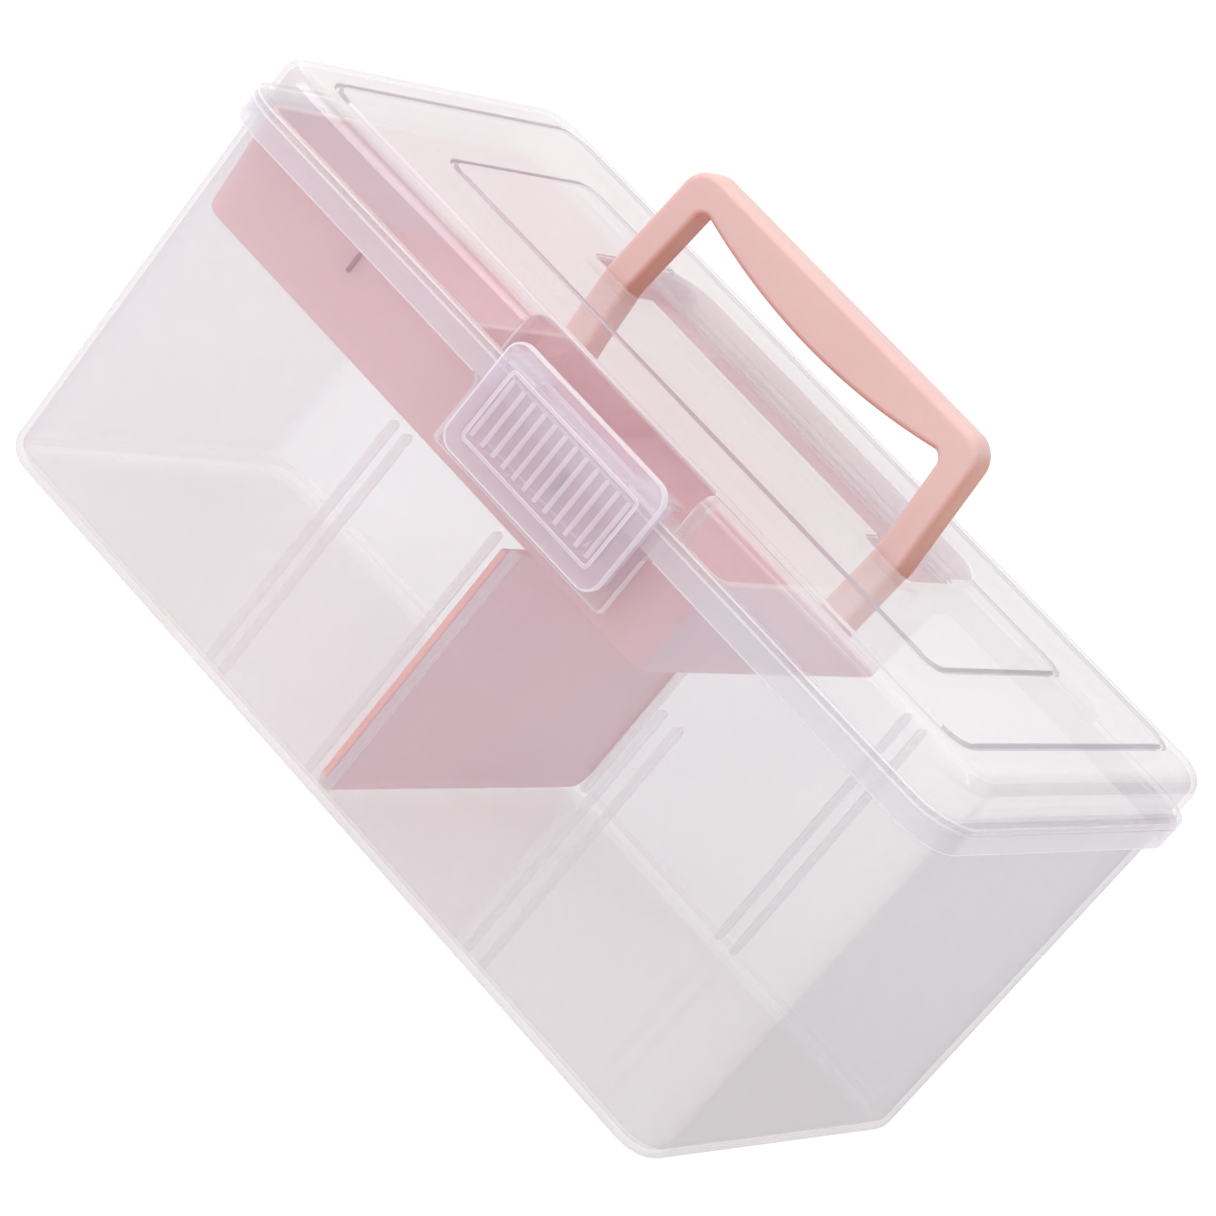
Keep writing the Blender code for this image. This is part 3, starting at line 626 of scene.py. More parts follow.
def tub_shell():
    skirt_bottom = RIM_Z - BAND_DEPTH
    under_rim = RIM_Z - BAND_THICK
    inner_fillet = TUB_FILLET - WALL
    rings = fillet_rings(tub_ring, TUB_FILLET, TUB_FILLET, 0.0, -90, 0)
    rings.append(tub_ring(under_rim))
    rings.append(band_ring(BAND_THICK, under_rim))
    rings.append(band_ring(BAND_THICK, skirt_bottom))
    rings += fillet_rings(band_section, skirt_bottom + BAND_EDGE, BAND_EDGE, 0.0, -90, 0, 4)
    rings += fillet_rings(band_section, RIM_Z - BAND_EDGE, BAND_EDGE, 0.0, 0, 90, 4)
    rings.append(tub_ring(RIM_Z, WALL - RIM_BREAK))
    rings.append(tub_ring(RIM_Z - RIM_BREAK, WALL))
    rings += fillet_rings(tub_ring, FLOOR + inner_fillet, inner_fillet, WALL, 0, -90)
    return skin("tub_shell", rings)


def tub_core():
    """Solid that just fills the tub's inside, to trim what stands against its walls."""
    inside = WALL + TRIM_GAP
    fillet = TUB_FILLET - inside
    rings = fillet_rings(tub_ring, FLOOR + TRIM_GAP + fillet, fillet, inside, -90, 0)
    rings.append(tub_ring(RIM_Z, inside))
    return skin("tub_core", rings)


def inner_wall_y(z):
    return HALF_W - WALL_INSET - DRAFT_Y * (1 - z / RIM_Z) - WALL


def make_guide_ribs():
    """Round-nosed, round-topped ribs that stand against the inner faces of the front and back walls."""
    ribs = []
    half = RIB_WIDTH / 2
    low_z = FLOOR - SINK
    wall_y = inner_wall_y(RIB_TOP_Z)
    for centre in RIB_CENTRES:
        for side in (1, -1):
            outline = [(centre - half, low_z), (centre + half, low_z)]
            outline += arc((centre, RIB_TOP_Z - half), half, 0, 180, 8)
            low, high = sorted((side * (wall_y - RIB_DEPTH), side * (wall_y + WALL / 2)))
            ribs.append(soften(prism("rib", outline, "Y", low, high), RIB_ROUND, 3))
    ribs = combine(merge("guide_ribs", ribs), tub_core(), "INTERSECT")
    # Painted highlight on the ribs' rounded sides; their other faces carry the whiter rib haze, also painted
    # highlight.
    paint(ribs, 1, lambda centre, normal: 0.25 < abs(normal.x) < 0.97)
    place(smooth(ribs), "tub", "tub", "clear_plastic", RIB_HIGHLIGHT, RIB_SIDE_HIGHLIGHT)


def apron():
    """Plate that sweeps down from the front band, with its two returns to the wall."""
    front = -HALF_W
    back = front + BAND_THICK
    wall_y = -(HALF_W - WALL_INSET) + WALL / 2
    top = RIM_Z - BAND_THICK / 2
    skirt_bottom = RIM_Z - BAND_DEPTH
    side = arc((APRON_HALF + APRON_SWEEP, skirt_bottom - APRON_SWEEP + 0.0002), APRON_SWEEP, 90, 180, 6)
    corner = arc((APRON_HALF - APRON_CORNER, APRON_BOTTOM_Z + APRON_CORNER), APRON_CORNER, 0, -90, 4)
    right = [(APRON_HALF + APRON_SWEEP, top)] + side + corner
    outline = right + [(-x, z) for x, z in reversed(right)]
    plate = prism("apron", outline, "Y", front, back)
    for sign in (1, -1):
        low, high = span(sign, APRON_HALF - BAND_THICK, APRON_HALF)
        wall = block("apron_side", (low, front + 0.0004, APRON_BOTTOM_Z + 0.0004), (high, wall_y, top))
        combine(plate, wall, "UNION")
    catch_low = CATCH_Z - CATCH_HEIGHT / 2
    catch_high = CATCH_Z + CATCH_HEIGHT / 2
    outline = [(back, catch_low), (back, catch_high + 0.0010), (front, catch_high + 0.0010)]
    outline += [(front - CATCH_DEPTH, catch_high - 0.0006), (front - CATCH_DEPTH, catch_low)]
    return combine(plate, prism("catch_ridge", outline, "X", -CATCH_HALF, CATCH_HALF), "UNION")


def hinge_ears():
    """Two ears and the rod between them, at each end of the back band."""
    pieces = []
    reach = HOOK_HALF + 0.0006
    root = HALF_W - BAND_THICK / 2
    for side in (1, -1):
        for end in (1, -1):
            inner = side * HINGE_X + end * reach
            low, high = sorted((inner, inner + end * EAR_THICK))
            outline = [(root, EAR_BOTTOM_Z), (HINGE_Y - 0.0010, EAR_BOTTOM_Z)]
            outline += arc((HINGE_Y, HINGE_Z), EAR_RADIUS, -20, 150, 12)
            outline += [(HINGE_Y - EAR_RADIUS, HINGE_Z - 0.0010), (root, HINGE_Z - 0.0010)]
            pieces.append(prism("ear", outline, "X", low, high))
    ears = merge("hinge_ears", pieces)
    rods = []
    for side in (1, -1):
        middle = side * HINGE_X
        rods.append(rod("rod", HINGE_Y, HINGE_Z, HINGE_ROD, middle - reach - 0.001, middle + reach + 0.001))
    return combine(ears, merge("hinge_rods", rods), "UNION")


def make_tub():
    tub = tub_shell()
    combine(tub, apron(), "UNION")
    combine(tub, hinge_ears(), "UNION")
    tub.name = "clear_tub"
    skirt_bottom = RIM_Z - BAND_DEPTH

    def on_band(centre, normal):
        return centre.z > skirt_bottom - GAP and on_rim(centre, BAND_THICK / 2)

    def on_band_edge(centre, normal):
        near = min(abs(centre.z - RIM_Z), abs(centre.z - skirt_bottom))
        return on_band(centre, normal) and near < BAND_EDGE and 0.15 < abs(normal.z) < 0.985

    def on_apron_edge(centre, normal):
        front = centre.y < -HALF_W + BAND_THICK + GAP and centre.z < skirt_bottom
        return front and abs(normal.y) < 0.5 and abs(centre.x) < APRON_HALF + APRON_SWEEP

    def on_floor(centre, normal):
        return centre.z < 2 * FLOOR and abs(normal.z) > 0.8

    def on_seam(centre, normal):
        return centre.z < TUB_FILLET and 0.35 < normal.z < 0.75

    # Painted light on the floor's faces.
    paint(tub, 3, on_floor)
    # Painted highlight along the inner fillet at the floor.
    paint(tub, 4, on_seam)
    # Painted highlight on the band's and the apron's edges.
    paint(tub, 1, on_band)
    paint(tub, 2, on_band_edge)
    paint(tub, 2, on_apron_edge)
    place(smooth(tub), "tub", "tub", "clear_plastic",
          TUB_CLEAR, BAND_CLEAR, EDGE_HIGHLIGHT, FLOOR_PAINTED_LIGHT, SEAM_HIGHLIGHT)


# ---------------------------------------------------------------- lid
def dome_ring(z, inward=0.0):
    radius = max(LID_CORNER - inward, MIN_CORNER)
    return ring(HALF_L - LID_INSET - inward, HALF_W - LID_INSET - inward, radius, z)


def panel_ring(half, inward, radius, z):
    return ring(half[0] - inward, half[1] - inward, radius, z)


def step_rings(half, radius, z):
    """A groove at half, then a rounded step up by STEP_RISE inside it."""
    profile = [(-GROOVE_WIDTH, 0.0), (-0.8 * GROOVE_WIDTH, -0.15), (-0.6 * GROOVE_WIDTH, -0.8)]
    profile += [(-0.4 * GROOVE_WIDTH, -1.0), (-0.1 * GROOVE_WIDTH, -1.0), (0.1 * GROOVE_WIDTH, -0.7)]
    rings = [panel_ring(half, inward, radius, z + GROOVE_DEPTH * depth) for inward, depth in profile]
    rings.append(panel_ring(half, 0.3 * GROOVE_WIDTH, radius, z + 0.75 * STEP_RISE))
    rings.append(panel_ring(half, 0.5 * GROOVE_WIDTH, radius, z + STEP_RISE))
    return rings


def in_groove(point):
    """Whether a point of the lid's top lies over one of its two grooves, in plan."""
    for half in (STEP_HALF, PANEL_HALF):
        inward = min(half[0] - abs(point.x), half[1] - abs(point.y))
        limit = 0.4 * GROOVE_WIDTH + corner_cut(half, point)
        if -1.2 * GROOVE_WIDTH < inward < min(STEP_CORNER, limit):
            return True
    return False


def corner_cut(half, point):
    """How far the groove's rounded corner runs inside the sharp corner there."""
    radius = STEP_CORNER if half is STEP_HALF else PANEL_CORNER
    out_x = abs(point.x) - (half[0] - radius)
    out_y = abs(point.y) - (half[1] - radius)
    if min(out_x, out_y) < 0:
        return 0.0
    return 0.3 * radius


def lid_solid():
    """Outer shape of the lid: flange, dome, rounded top edge and two shallow steps on top."""
    bottom = RIM_Z + GAP
    flange_top = bottom + FLANGE
    top = LID_TOP_Z - 2 * STEP_RISE
    edge = 0.0005
    rings = [band_ring(0.0, bottom)]
    rings += fillet_rings(band_section, flange_top - edge, edge, 0.0, 0, 90, 4)
    rings += fillet_rings(dome_ring, flange_top + edge, -edge, 0.0, 90, 0, 4)
    rings += fillet_rings(dome_ring, top - LID_FILLET, LID_FILLET, 0.0, 0, 90)
    rings += step_rings(STEP_HALF, STEP_CORNER, top)
    rings += step_rings(PANEL_HALF, PANEL_CORNER, top + STEP_RISE)
    return skin("lid", rings)


def lid_cavity():
    """Space under the lid, before the pocket's and the notch's walls are left standing in it."""
    top = LID_TOP_Z - 2 * STEP_RISE - WALL
    inner_fillet = LID_FILLET - WALL
    rings = [dome_ring(RIM_Z - 0.001, WALL)]
    rings += fillet_rings(dome_ring, top - inner_fillet, inner_fillet, WALL, 0, 90)
    return skin("lid_cavity", rings)


def flared(name, outline, bottom, surface):
    """Cutter with upright sides that opens out in a small round where it meets the surface height;
    outline gives the points of its section, grown by a distance."""
    levels = [(0.0, bottom)]
    for i in range(5):
        angle = math.radians(22.5 * i)
        levels.append((LIP * (1 - math.cos(angle)), surface - LIP * (1 - math.sin(angle))))
    levels.append((LIP, LID_TOP_Z + CUT_PAST))
    return skin(name, [[Vector((x, y, z)) for x, y in outline(grow)] for grow, z in levels])


def notch_outline(grow):
    """Plan of the latch notch in the lid's front; grow is how far it is offset outward."""
    back = NOTCH_BACK + grow
    front = -HALF_W - CUT_PAST
    half_depth = (back - front) / 2
    return rounded_rectangle(NOTCH_HALF + grow, half_depth, NOTCH_CORNER + grow, 8, (0, front + half_depth))


def pocket_outline(grow):
    half_depth = (POCKET_BACK - POCKET_FRONT) / 2
    centre = (0, POCKET_FRONT + half_depth)
    return rounded_rectangle(POCKET_HALF + grow, half_depth + grow, POCKET_CORNER + grow, 12, centre)


def well_outline(side, grow):
    """Plan of the well that reaches forward from the pocket around one leg."""
    back = POCKET_FRONT + WELL_OVERLAP
    half_x = (WELL_OUTER - WELL_INNER) / 2 + grow
    half_y = (back - WELL_FRONT) / 2 + grow
    centre = (side * (WELL_OUTER + WELL_INNER) / 2, (back + WELL_FRONT) / 2)
    return rounded_rectangle(half_x, half_y, WELL_CORNER + grow, 8, centre)


def notch_liner():
    return prism("notch_liner", notch_outline(WALL), "Z", RIM_Z - CUT_PAST, LID_TOP_Z + CUT_PAST)


def notch_cut():
    """The notch, with the corners of its front opening taken off."""
    floor = RIM_Z + GAP + FLANGE
    notch = flared("notch", notch_outline, floor, LID_TOP_Z - 2 * STEP_RISE)
    corner_y = -HALF_W + LID_INSET
    for side in (1, -1):
        x = side * NOTCH_HALF
        outline = [(x + LIP, corner_y), (x, corner_y + LIP), (x - LIP, corner_y), (x, corner_y - LIP)]
        combine(notch, prism("corner", outline, "Z", floor, LID_TOP_Z), "UNION")
    return notch


def pocket_liner():
    floor = POCKET_FLOOR_Z - WALL
    top = LID_TOP_Z + CUT_PAST
    liner = prism("pocket_liner", pocket_outline(WALL), "Z", floor, top)
    for side in (1, -1):
        combine(liner, prism("well", well_outline(side, WALL), "Z", floor, top), "UNION")
    return liner


def pocket_cut():
    surface = LID_TOP_Z - STEP_RISE
    pocket = flared("pocket", pocket_outline, POCKET_FLOOR_Z, surface)
    for side in (1, -1):
        well = flared("well", lambda grow: well_outline(side, grow), POCKET_FLOOR_Z, surface)
        combine(pocket, well, "UNION")
    return pocket


def latch_brackets():
    """Two arms from the notch's back wall, each hooked round the latch's rod from above."""
    pieces = []
    root = NOTCH_BACK + WALL / 2
    for side in (1, -1):
        low, high = span(side, BRACKET_INNER, BRACKET_OUTER)
        outline = [(root, LATCH_Z - BRACKET_DROP), (root, LATCH_Z + BRACKET_RISE)]
        outline += arc((LATCH_Y, LATCH_Z), BRACKET_RADIUS, 90, 250, 14)
        outline += arc((LATCH_Y, LATCH_Z), LATCH_ROD + GAP, 250, 10, 16)
        pieces.append(prism("bracket", outline, "X", low, high))
    return merge("latch_brackets", pieces)


def hinge_hooks():
    """Two C-shaped hooks on the lid's back flange, round the tub's rods."""
    pieces = []
    bottom = RIM_Z + GAP
    for side in (1, -1):
        low = side * HINGE_X - HOOK_HALF
        high = side * HINGE_X + HOOK_HALF
        outline = [(HALF_W - 0.002, bottom), (HALF_W - 0.002, bottom + FLANGE)]
        outline += [(HALF_W + 0.0006, bottom + FLANGE)]
        outline += arc((HINGE_Y, HINGE_Z), HOOK_OUTER, 110, -60, 18)
        outline += arc((HINGE_Y, HINGE_Z), HOOK_INNER, -60, 172, 20)
        pieces.append(prism("hook", outline, "X", low, high))
    return merge("hinge_hooks", pieces)


def pivot_holes():
    holes = []
    for side in (1, -1):
        low, high = span(side, WELL_OUTER - 0.002, WELL_OUTER + WALL + 0.001)
        holes.append(rod("hole", BAIL_Y, BAIL_Z, PIN_BORE, low, high))
    return merge("pivot_holes", holes)


def over_pocket(point, margin):
    """Whether a point lies over the pocket and its wells, or within margin of them, in plan."""
    within_y = WELL_FRONT - margin < point.y < POCKET_BACK + margin
    return abs(point.x) < WELL_OUTER + margin and within_y


def make_lid():
    cavity = lid_cavity()
    combine(cavity, notch_liner(), "DIFFERENCE")
    combine(cavity, pocket_liner(), "DIFFERENCE")
    lid = combine(lid_solid(), cavity, "DIFFERENCE")
    combine(lid, notch_cut(), "DIFFERENCE")
    combine(lid, pocket_cut(), "DIFFERENCE")
    combine(lid, latch_brackets(), "UNION")
    combine(lid, hinge_hooks(), "UNION")
    combine(lid, pivot_holes(), "DIFFERENCE")
    lid.name = "clear_lid"
    top = LID_TOP_Z - 2 * STEP_RISE
    flange_top = RIM_Z + GAP + FLANGE

    def on_groove(centre, normal):
        return centre.z > top - GROOVE_DEPTH - GAP and 0.05 < 1 - abs(normal.z) and in_groove(centre)

    def on_flange_edge(centre, normal):
        return centre.z < RIM_Z + 2 * FLANGE and on_rim(centre, 0.0012) and 0.15 < abs(normal.z) < 0.985

    def in_pocket(centre, normal):
        upright = abs(normal.z) < 0.3
        return upright and over_pocket(centre, 2 * WALL) and POCKET_FLOOR_Z - 2 * WALL < centre.z < top

    def on_top(centre, normal):
        return centre.z > top - GROOVE_DEPTH - GAP and normal.z > 0.8

    def on_notch_edge(centre, normal):
        inside = abs(centre.x) < NOTCH_HALF + 2 * LIP and centre.y < NOTCH_BACK + 2 * LIP
        above = centre.z > flange_top
        rim = centre.z > top - 1.2 * LIP and 0.12 < normal.z < 0.97
        corner = abs(centre.x) > NOTCH_HALF - LIP and centre.y < 2 * LIP + LID_INSET - HALF_W
        return inside and above and (rim or corner and min(abs(normal.x), abs(normal.y)) > 0.5)

    def on_pocket_rim(centre, normal):
        return over_pocket(centre, 2 * LIP) and centre.z > top - LIP and 0.12 < normal.z < 0.97

    # Painted light on the lid's top faces.
    paint(lid, 2, on_top)
    paint(lid, 4, in_pocket)
    # Painted shade in the grooves.
    paint(lid, 3, on_groove)
    # Painted highlight on the flange edge and on the rims of the notch and the pocket.
    paint(lid, 1, on_flange_edge)
    paint(lid, 1, on_notch_edge)
    paint(lid, 1, on_pocket_rim)
    place(smooth(lid), "lid", "lid", "clear_plastic", CLEAR, EDGE_HIGHLIGHT, TOP_PAINTED_LIGHT, GROOVE_SHADE, POCKET_CLEAR)


# ---------------------------------------------------------------- handle
def bail_outline():
    """Front outline of the arch: splayed legs with round feet, a grip that is deepest in its middle."""
    foot_low = BAIL_Z - BAIL_THICK / 2
    right_outer = [(BAIL_FOOT_HALF, foot_low), (BAIL_FOOT_HALF, BAIL_Z + LEG_STRAIGHT)]
    right_outer += arc((BAIL_TOP_HALF - BAIL_CORNER, BAIL_TOP_Z - BAIL_CORNER), BAIL_CORNER, 0, 86, 12)
    left_outer = [(-x, z) for x, z in reversed(right_outer)]
    inner_foot = BAIL_FOOT_HALF - BAIL_LEG
    inner_top = BAIL_TOP_HALF - BAIL_LEG
    corner = GRIP_CORNER
    left_inner = [(-inner_foot, foot_low), (-inner_foot, BAIL_Z + LEG_STRAIGHT)]
    left_inner += arc((-inner_top + corner, GRIP_END_Z - corner), corner, 180, 96, 8)
    grip_start = -left_inner[-1][0]
    grip = []
    steps = 28
    for i in range(1, steps):
        x = -grip_start + 2 * grip_start * i / steps
        bow = 1 - (x / grip_start) ** 2
        grip.append((x, GRIP_END_Z - (GRIP_END_Z - GRIP_MID_Z) * bow))
    right_inner = [(-x, z) for x, z in reversed(left_inner)]
    return right_outer + left_outer + left_inner + grip + right_inner


def foot_trim():
    """Block that leaves the legs' feet round about their pivot."""
    radius = BAIL_THICK / 2
    reach = radius + 0.002
    outline = [(BAIL_Y - reach, BAIL_Z), (BAIL_Y - reach, BAIL_Z - reach)]
    outline += [(BAIL_Y + reach, BAIL_Z - reach), (BAIL_Y + reach, BAIL_Z)]
    outline += arc((BAIL_Y, BAIL_Z), radius, 0, -180, 20)
    return prism("foot_trim", outline, "X", -0.08, 0.08)


def make_handle():
    bail = prism("pink_bail", bail_outline(), "Y", BAIL_LOW.y, BAIL_HIGH.y)
    soften(bail, BAIL_EDGE, 5, 60)
    combine(bail, foot_trim(), "DIFFERENCE")
    pins = []
    for side in (1, -1):
        low, high = span(side, BAIL_FOOT_HALF - 0.004, WELL_OUTER + WALL - 0.0002)
        pins.append(rod("pin", BAIL_Y, BAIL_Z, PIN_RADIUS, low, high))
    combine(bail, merge("pins", pins), "UNION")
    place(smooth(bail), "handle", "handle", "handle_plastic", PINK)


# ---------------------------------------------------------------- latch
def latch_section(inward, y):
    half_z = (LATCH_HIGH.z - LATCH_LOW.z) / 2
    centre = (0, LATCH_LOW.z + half_z)
    outline = rounded_rectangle(LATCH_HALF - inward, half_z - inward, LATCH_CORNER - inward, 8, centre)
    return [Vector((x, y, z)) for x, z in outline]


def grip_field(face):
    """Grip ribs that stand proud of the latch's face."""
    pieces = []
    for i in range(GRIP_RIBS):
        x = (i - (GRIP_RIBS - 1) / 2) * GRIP_PITCH
        low = (x - GRIP_RIB_HALF, LATCH_FRONT, GRIP_LOW_Z + 0.0002)
        high = (x + GRIP_RIB_HALF, face + 0.0004, GRIP_HIGH_Z - 0.0002)
        pieces.append(soften(block("rib", low, high), 0.0004, 3))
    return merge("grip_field", pieces)


def grip_slots(face):
    """Slots between the grip ribs and beside them, cut into the latch's face."""
    slots = []
    for i in range(GRIP_RIBS + 1):
        x = (i - GRIP_RIBS / 2) * GRIP_PITCH
        half = GRIP_PITCH / 2 - GRIP_RIB_HALF
        low = (x - half, LATCH_FRONT - 0.001, GRIP_LOW_Z)
        slots.append(soften(block("slot", low, (x + half, face + GRIP_SINK, GRIP_HIGH_Z)), 0.0005, 3))
    return merge("grip_slots", slots)


def border_line(face):
    half_z = (BORDER_HIGH_Z - BORDER_LOW_Z) / 2
    centre = (0, BORDER_LOW_Z + half_z)
    outer = prism("border", rounded_rectangle(BORDER_HALF + LINE_HALF, half_z + LINE_HALF, 0.0020, 6, centre),
                  "Y", LATCH_FRONT, face + 0.0004)
    inner = prism("inside", rounded_rectangle(BORDER_HALF - LINE_HALF, half_z - LINE_HALF, 0.0010, 6, centre),
                  "Y", LATCH_FRONT - 0.001, face + 0.001)
    return soften(combine(outer, inner, "DIFFERENCE"), 0.0003, 2)


def on_latch_corner(point, depth):
    """Whether a point lies within depth of the plate's rounded corners."""
    half_z = (LATCH_HIGH.z - LATCH_LOW.z) / 2
    out_x = abs(point.x) - (LATCH_HALF - LATCH_CORNER)
    out_z = abs(point.z - LATCH_LOW.z - half_z) - (half_z - LATCH_CORNER)
    return min(out_x, out_z) > 0 and math.hypot(out_x, out_z) > LATCH_CORNER - depth


def on_border_line(point):
    out_x = abs(abs(point.x) - BORDER_HALF)
    out_z = min(abs(point.z - BORDER_LOW_Z), abs(point.z - BORDER_HIGH_Z))
    return min(out_x, out_z) < 0.0008


def make_latch():
    """Plate with side skirts, a rod on webs near its top, and a bead under the tub's ridge."""
    face = LATCH_FRONT + FACE_SINK
    inner = face + LATCH_PLATE
    edge = LATCH_EDGE
    sections = [latch_section(0.0, inner)]
    for i in range(5):
        angle = math.radians(90 * i / 4)
        sections.append(latch_section(edge * (1 - math.cos(angle)), face + edge * (1 - math.sin(angle))))
    latch = skin("lilac_latch", sections)
    skirts = []
    webs = []
    for side in (1, -1):
        low, high = span(side, LATCH_HALF - SKIRT_THICK, LATCH_HALF)
        skirts.append(block("skirt", (low, face + 0.0012, LATCH_LOW.z + LATCH_CORNER),
                            (high, -HALF_W - GAP, LATCH_HIGH.z - LATCH_CORNER)))
        outline = [(inner - SINK, LATCH_Z - WEB_RADIUS)]
        outline += arc((LATCH_Y, LATCH_Z), WEB_RADIUS, -90, 90, 12)
        outline += [(inner - SINK, LATCH_Z + WEB_RADIUS)]
        webs.append(prism("web", outline, "X", low, high))
    combine(latch, merge("skirts", skirts), "UNION")
    combine(latch, merge("webs", webs), "UNION")
    web_low = (-BRACKET_INNER + 0.0010, inner - SINK, LATCH_Z - 0.0012)
    web_high = (BRACKET_INNER - 0.0010, LATCH_Y + 0.0002, LATCH_Z + 0.0012)
    combine(latch, block("web", web_low, web_high), "UNION")
    reach = LATCH_HALF - 0.0004
    combine(latch, rod("rod", LATCH_Y, LATCH_Z, LATCH_ROD, -reach, reach), "UNION")
    bead_top = CATCH_Z - CATCH_HEIGHT / 2 - GAP
    bead_y = -HALF_W - CATCH_DEPTH - GAP
    bead_low = (-CATCH_HALF, inner - SINK, bead_top - 0.0020)
    combine(latch, block("bead", bead_low, (CATCH_HALF, bead_y, bead_top)), "UNION")
    combine(latch, grip_slots(face), "DIFFERENCE")
    combine(latch, grip_field(face), "UNION")
    combine(latch, border_line(face), "UNION")
    low_z, high_z = LATCH_LOW.z + edge, LATCH_HIGH.z - edge

    def on_outline(centre, normal):
        at_side = abs(centre.x) > LATCH_HALF - edge or not low_z < centre.z < high_z
        return (at_side or on_latch_corner(centre, edge)) and centre.y < inner + GAP

    def on_border(centre, normal):
        return centre.y < face - GAP / 2 and on_border_line(centre)

    # Painted highlight on the latch's outline and border line.
    paint(latch, 1, on_outline)
    paint(latch, 1, on_border)
    # Painted highlight on the grip ribs' fronts.
    paint(latch, 2, lambda centre, normal: centre.y < face - GAP / 2 and not on_border_line(centre))
    place(smooth(latch), "latch", "latch", "latch_plastic", LILAC, EDGE_HIGHLIGHT, LATCH_STRIPE_HIGHLIGHT)


# ---------------------------------------------------------------- tray, partition and divider
def tray_ring(z, inward=0.0):
    lean = TRAY_DRAFT * (TRAY_HIGH.z - z) / (TRAY_HIGH.z - TRAY_LOW.z)
    half_x = TRAY_HALF_L - lean - inward
    half_y = TRAY_HALF_W - lean / 2 - inward
    return ring(half_x, half_y, max(TRAY_CORNER - inward, MIN_CORNER), z, TRAY_MID)


def make_tray_nibs():
    """Short upright ribs through the tray's long walls, where the partition can also stand."""
    nibs = []
    for x in NIB_X:
        for side in (1, -1):
            reach = (TRAY_HALF_W - WALL - NIB_DEPTH, TRAY_HALF_W + NIB_PROUD)
            low, high = sorted((side * reach[0], side * reach[1]))
            nib = block("nib", (x - NIB_HALF, low, NIB_LOW_Z), (x + NIB_HALF, high, NIB_HIGH_Z))
            nibs.append(soften(nib, 0.0004, 2))
    nibs = merge("tray_nibs", nibs)
    # The nibs carry painted edge glow.
    place(smooth(nibs), "tray", "tray", "tray_plastic", NIB_EDGE_GLOW)


def make_tray():
    inner_fillet = TRAY_FILLET - WALL
    floor_z = TRAY_LOW.z + WALL
    lip = TRAY_LIP
    rings = fillet_rings(tray_ring, TRAY_LOW.z + TRAY_FILLET, TRAY_FILLET, 0.0, -90, 0)
    rings += fillet_rings(tray_ring, TRAY_HIGH.z - lip, lip, 0.0, 0, 90, 4)

    def inner_section(z, inward):
        return tray_ring(z, WALL - inward)

    rings += fillet_rings(inner_section, TRAY_HIGH.z - lip, lip, 0.0, 90, 0, 4)
    rings += fillet_rings(tray_ring, floor_z + inner_fillet, inner_fillet, WALL, 0, -90)
    tray = skin("pink_tray", rings)
    paint(tray, 2, lambda centre, normal: abs(normal.x) > 0.7)
    # Painted highlight on the tray's top lip.
    paint(tray, 1, lambda centre, normal: centre.z > TRAY_HIGH.z - lip)
    place(smooth(tray), "tray", "tray", "tray_plastic", TRAY_PINK, LIP_HIGHLIGHT, END_PINK)


def make_partition():
    top_half = PART_HIGH.y
    low_half = top_half - TRAY_DRAFT / 2
    corner = TRAY_FILLET
    outline = [(top_half, PART_HIGH.z), (-top_half, PART_HIGH.z)]
    outline += arc((-low_half + corner, PART_LOW.z + corner), corner, 180, 270, 8)
    outline += arc((low_half - corner, PART_LOW.z + corner), corner, 270, 360, 8)
    partition = soften(prism("pink_partition", outline, "X", PART_LOW.x, PART_HIGH.x), 0.0004, 3)
    # Painted highlight on the partition's top.
    paint(partition, 1, lambda centre, normal: centre.z > PART_HIGH.z - GAP * 2)
    place(smooth(partition), "tray", "tray_partition", "tray_plastic", TRAY_PINK, LIP_HIGHLIGHT)


def make_divider():
    top_half = DIV_HIGH.y
    low_half = inner_wall_y(0.0) - GAP
    corner = TUB_FILLET
    outline = [(top_half, DIV_HIGH.z), (-top_half, DIV_HIGH.z)]
    outline += arc((-low_half + corner, DIV_LOW.z + corner), corner, 180, 270, 10)
    outline += arc((low_half - corner, DIV_LOW.z + corner), corner, 270, 360, 10)
    divider = soften(prism("pink_divider", outline, "X", DIV_LOW.x, DIV_HIGH.x), 0.0005, 3)
    paint(divider, 1, lambda centre, normal: abs(normal.y) > 0.7)
    # Painted highlight on the divider's underside.
    paint(divider, 2, lambda centre, normal: normal.z < -0.2)
    place(smooth(divider), "tub", "tall_divider", "tray_plastic", DIVIDER_PINK, EDGE_PINK, LIP_HIGHLIGHT)


make_tub()
make_guide_ribs()
make_lid()
make_handle()
make_latch()
make_tray()
make_tray_nibs()
make_partition()
make_divider()


# ---------------------------------------------------------------- stage, light and camera
def make_floor():
    bpy.ops.mesh.primitive_plane_add(size=8.0, location=(0, 0, -0.0002))
    floor = bpy.context.object
    floor.name = "floor"
    material = bpy.data.materials.new("floor_white")
    material.use_nodes = True
    shader = material.node_tree.nodes["Principled BSDF"]
    shader.inputs["Base Color"].default_value = (0.22, 0.22, 0.22, 1)
    shader.inputs["Roughness"].default_value = 0.9
    shader.inputs["Specular IOR Level"].default_value = 0.1
    shader.inputs["Emission Color"].default_value = (1.0, 1.0, 1.0, 1.0)
    shader.inputs["Emission Strength"].default_value = 0.86
    floor.data.materials.append(material)


def area_light(name, place_at, target, size, power):
    """White rectangular light that faces target; size in metres, power in watts."""
    light = bpy.data.lights.new(name, "AREA")
    light.shape = "RECTANGLE"
    light.size, light.size_y = size
    light.energy = power
    item = bpy.data.objects.new(name, light)
    bpy.context.scene.collection.objects.link(item)
    item.location = place_at
    item.rotation_euler = (Vector(target) - Vector(place_at)).to_track_quat("-Z", "Y").to_euler()


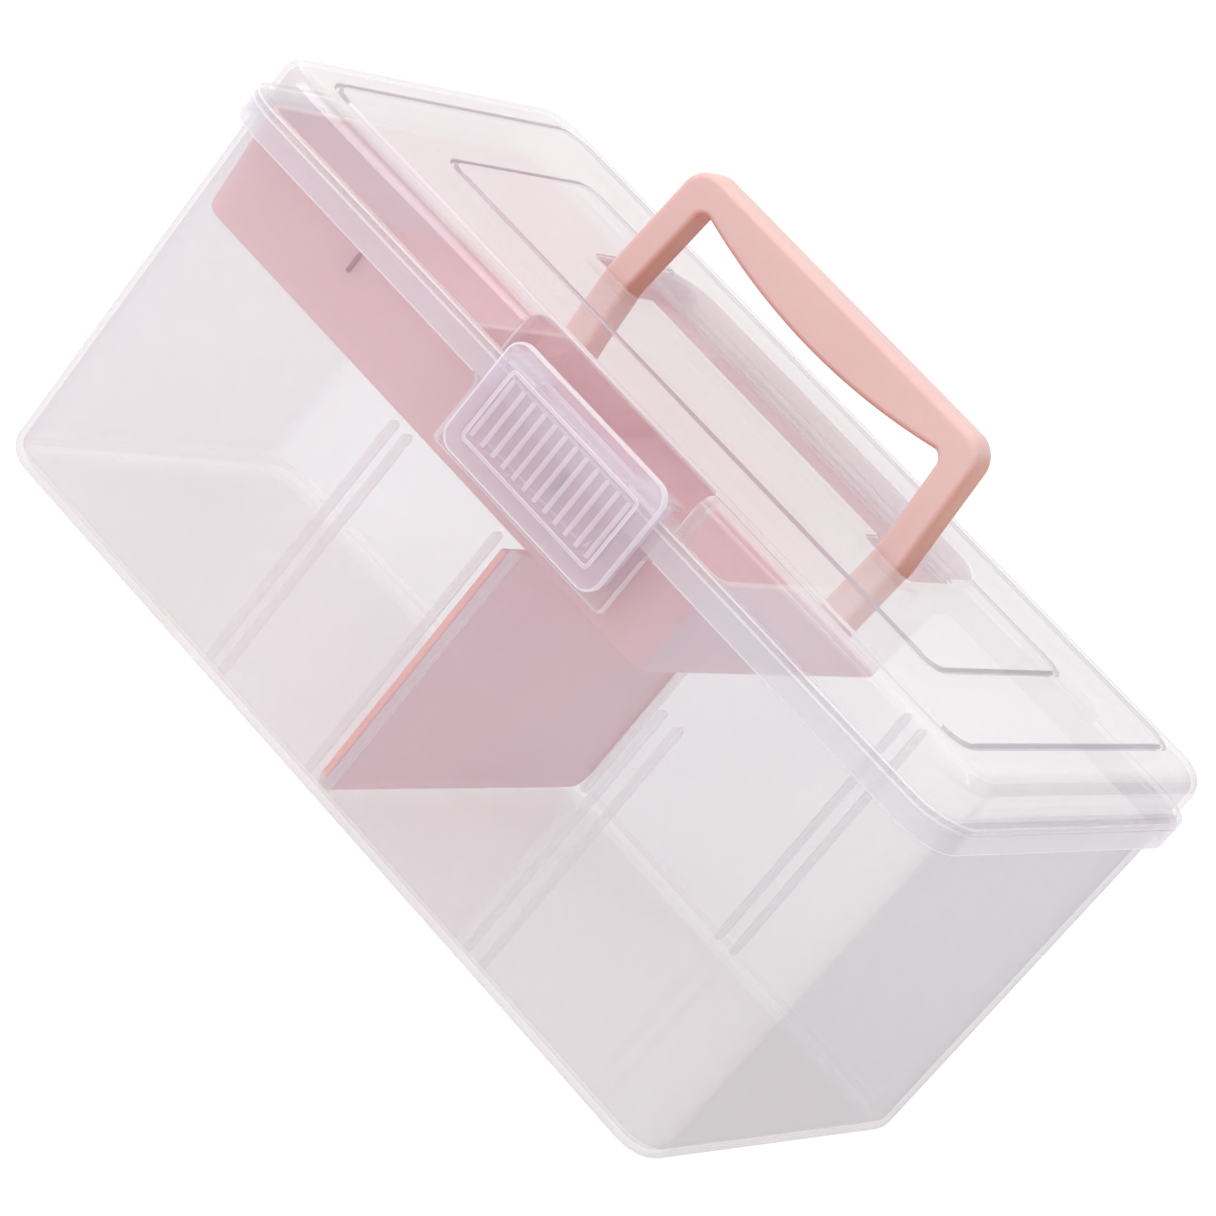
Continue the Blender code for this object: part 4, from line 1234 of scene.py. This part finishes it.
def make_world():
    """White studio: brightest overhead, dimmest towards the right-hand end."""
    world = bpy.data.worlds.new("studio")
    world.use_nodes = True
    tree = world.node_tree
    coordinates = tree.nodes.new("ShaderNodeTexCoord")
    along = tree.nodes.new("ShaderNodeVectorMath")
    along.operation = "DOT_PRODUCT"
    along.inputs[1].default_value = BRIGHT_SIDE
    tree.links.new(coordinates.outputs["Generated"], along.inputs[0])
    level = tree.nodes.new("ShaderNodeMapRange")
    level.inputs["From Min"].default_value = -0.8
    level.inputs["From Max"].default_value = 1.0
    level.inputs["To Min"].default_value = 0.12
    level.inputs["To Max"].default_value = 1.38
    tree.links.new(along.outputs["Value"], level.inputs["Value"])
    tree.nodes["Background"].inputs["Color"].default_value = (1.0, 1.0, 1.0, 1.0)
    tree.links.new(level.outputs["Result"], tree.nodes["Background"].inputs["Strength"])
    bpy.context.scene.world = world


def make_camera():
    """Looks down at the box from its front right, and is rolled so that the box stands tilted."""
    stand = (0.6191, -1.4601, 0.6083)
    yaw = math.radians(22.8834)
    pitch = math.radians(18.4433)
    roll = math.radians(39.4891)
    forward = Vector((-math.sin(yaw) * math.cos(pitch), math.cos(yaw) * math.cos(pitch), -math.sin(pitch)))
    right = forward.cross(Vector((0, 0, 1))).normalized()
    up = right.cross(forward)
    tilted_right = right * math.cos(roll) + up * math.sin(roll)
    tilted_up = up * math.cos(roll) - right * math.sin(roll)
    data = bpy.data.cameras.new("camera")
    data.sensor_width = 36.0
    data.lens = 164.48
    camera = bpy.data.objects.new("camera", data)
    turn = Matrix((tilted_right, tilted_up, -forward)).transposed()
    camera.matrix_world = Matrix.Translation(stand) @ turn.to_4x4()
    bpy.context.scene.collection.objects.link(camera)
    bpy.context.scene.camera = camera


make_floor()
make_world()
area_light("overhead", (0.0, 0.1, 2.0), (0, 0, 0.1), (1.8, 1.6), 4)
area_light("strip", (-0.9, -1.2, 1.1), (0, 0, 0.1), (0.5, 1.4), 6)
area_light("edge_strip", (1.2, -0.5, 1.3), (0, 0, 0.1), (0.15, 1.2), 1.5)
make_camera()

scene = bpy.context.scene
scene.view_settings.view_transform = "Standard"
scene.cycles.max_bounces = 16
scene.cycles.transmission_bounces = 16
scene.cycles.transparent_max_bounces = 20
scene.cycles.glossy_bounces = 8
scene.cycles.diffuse_bounces = 4
scene.cycles.use_denoising = True
scene.cycles.denoising_input_passes = "RGB_ALBEDO"
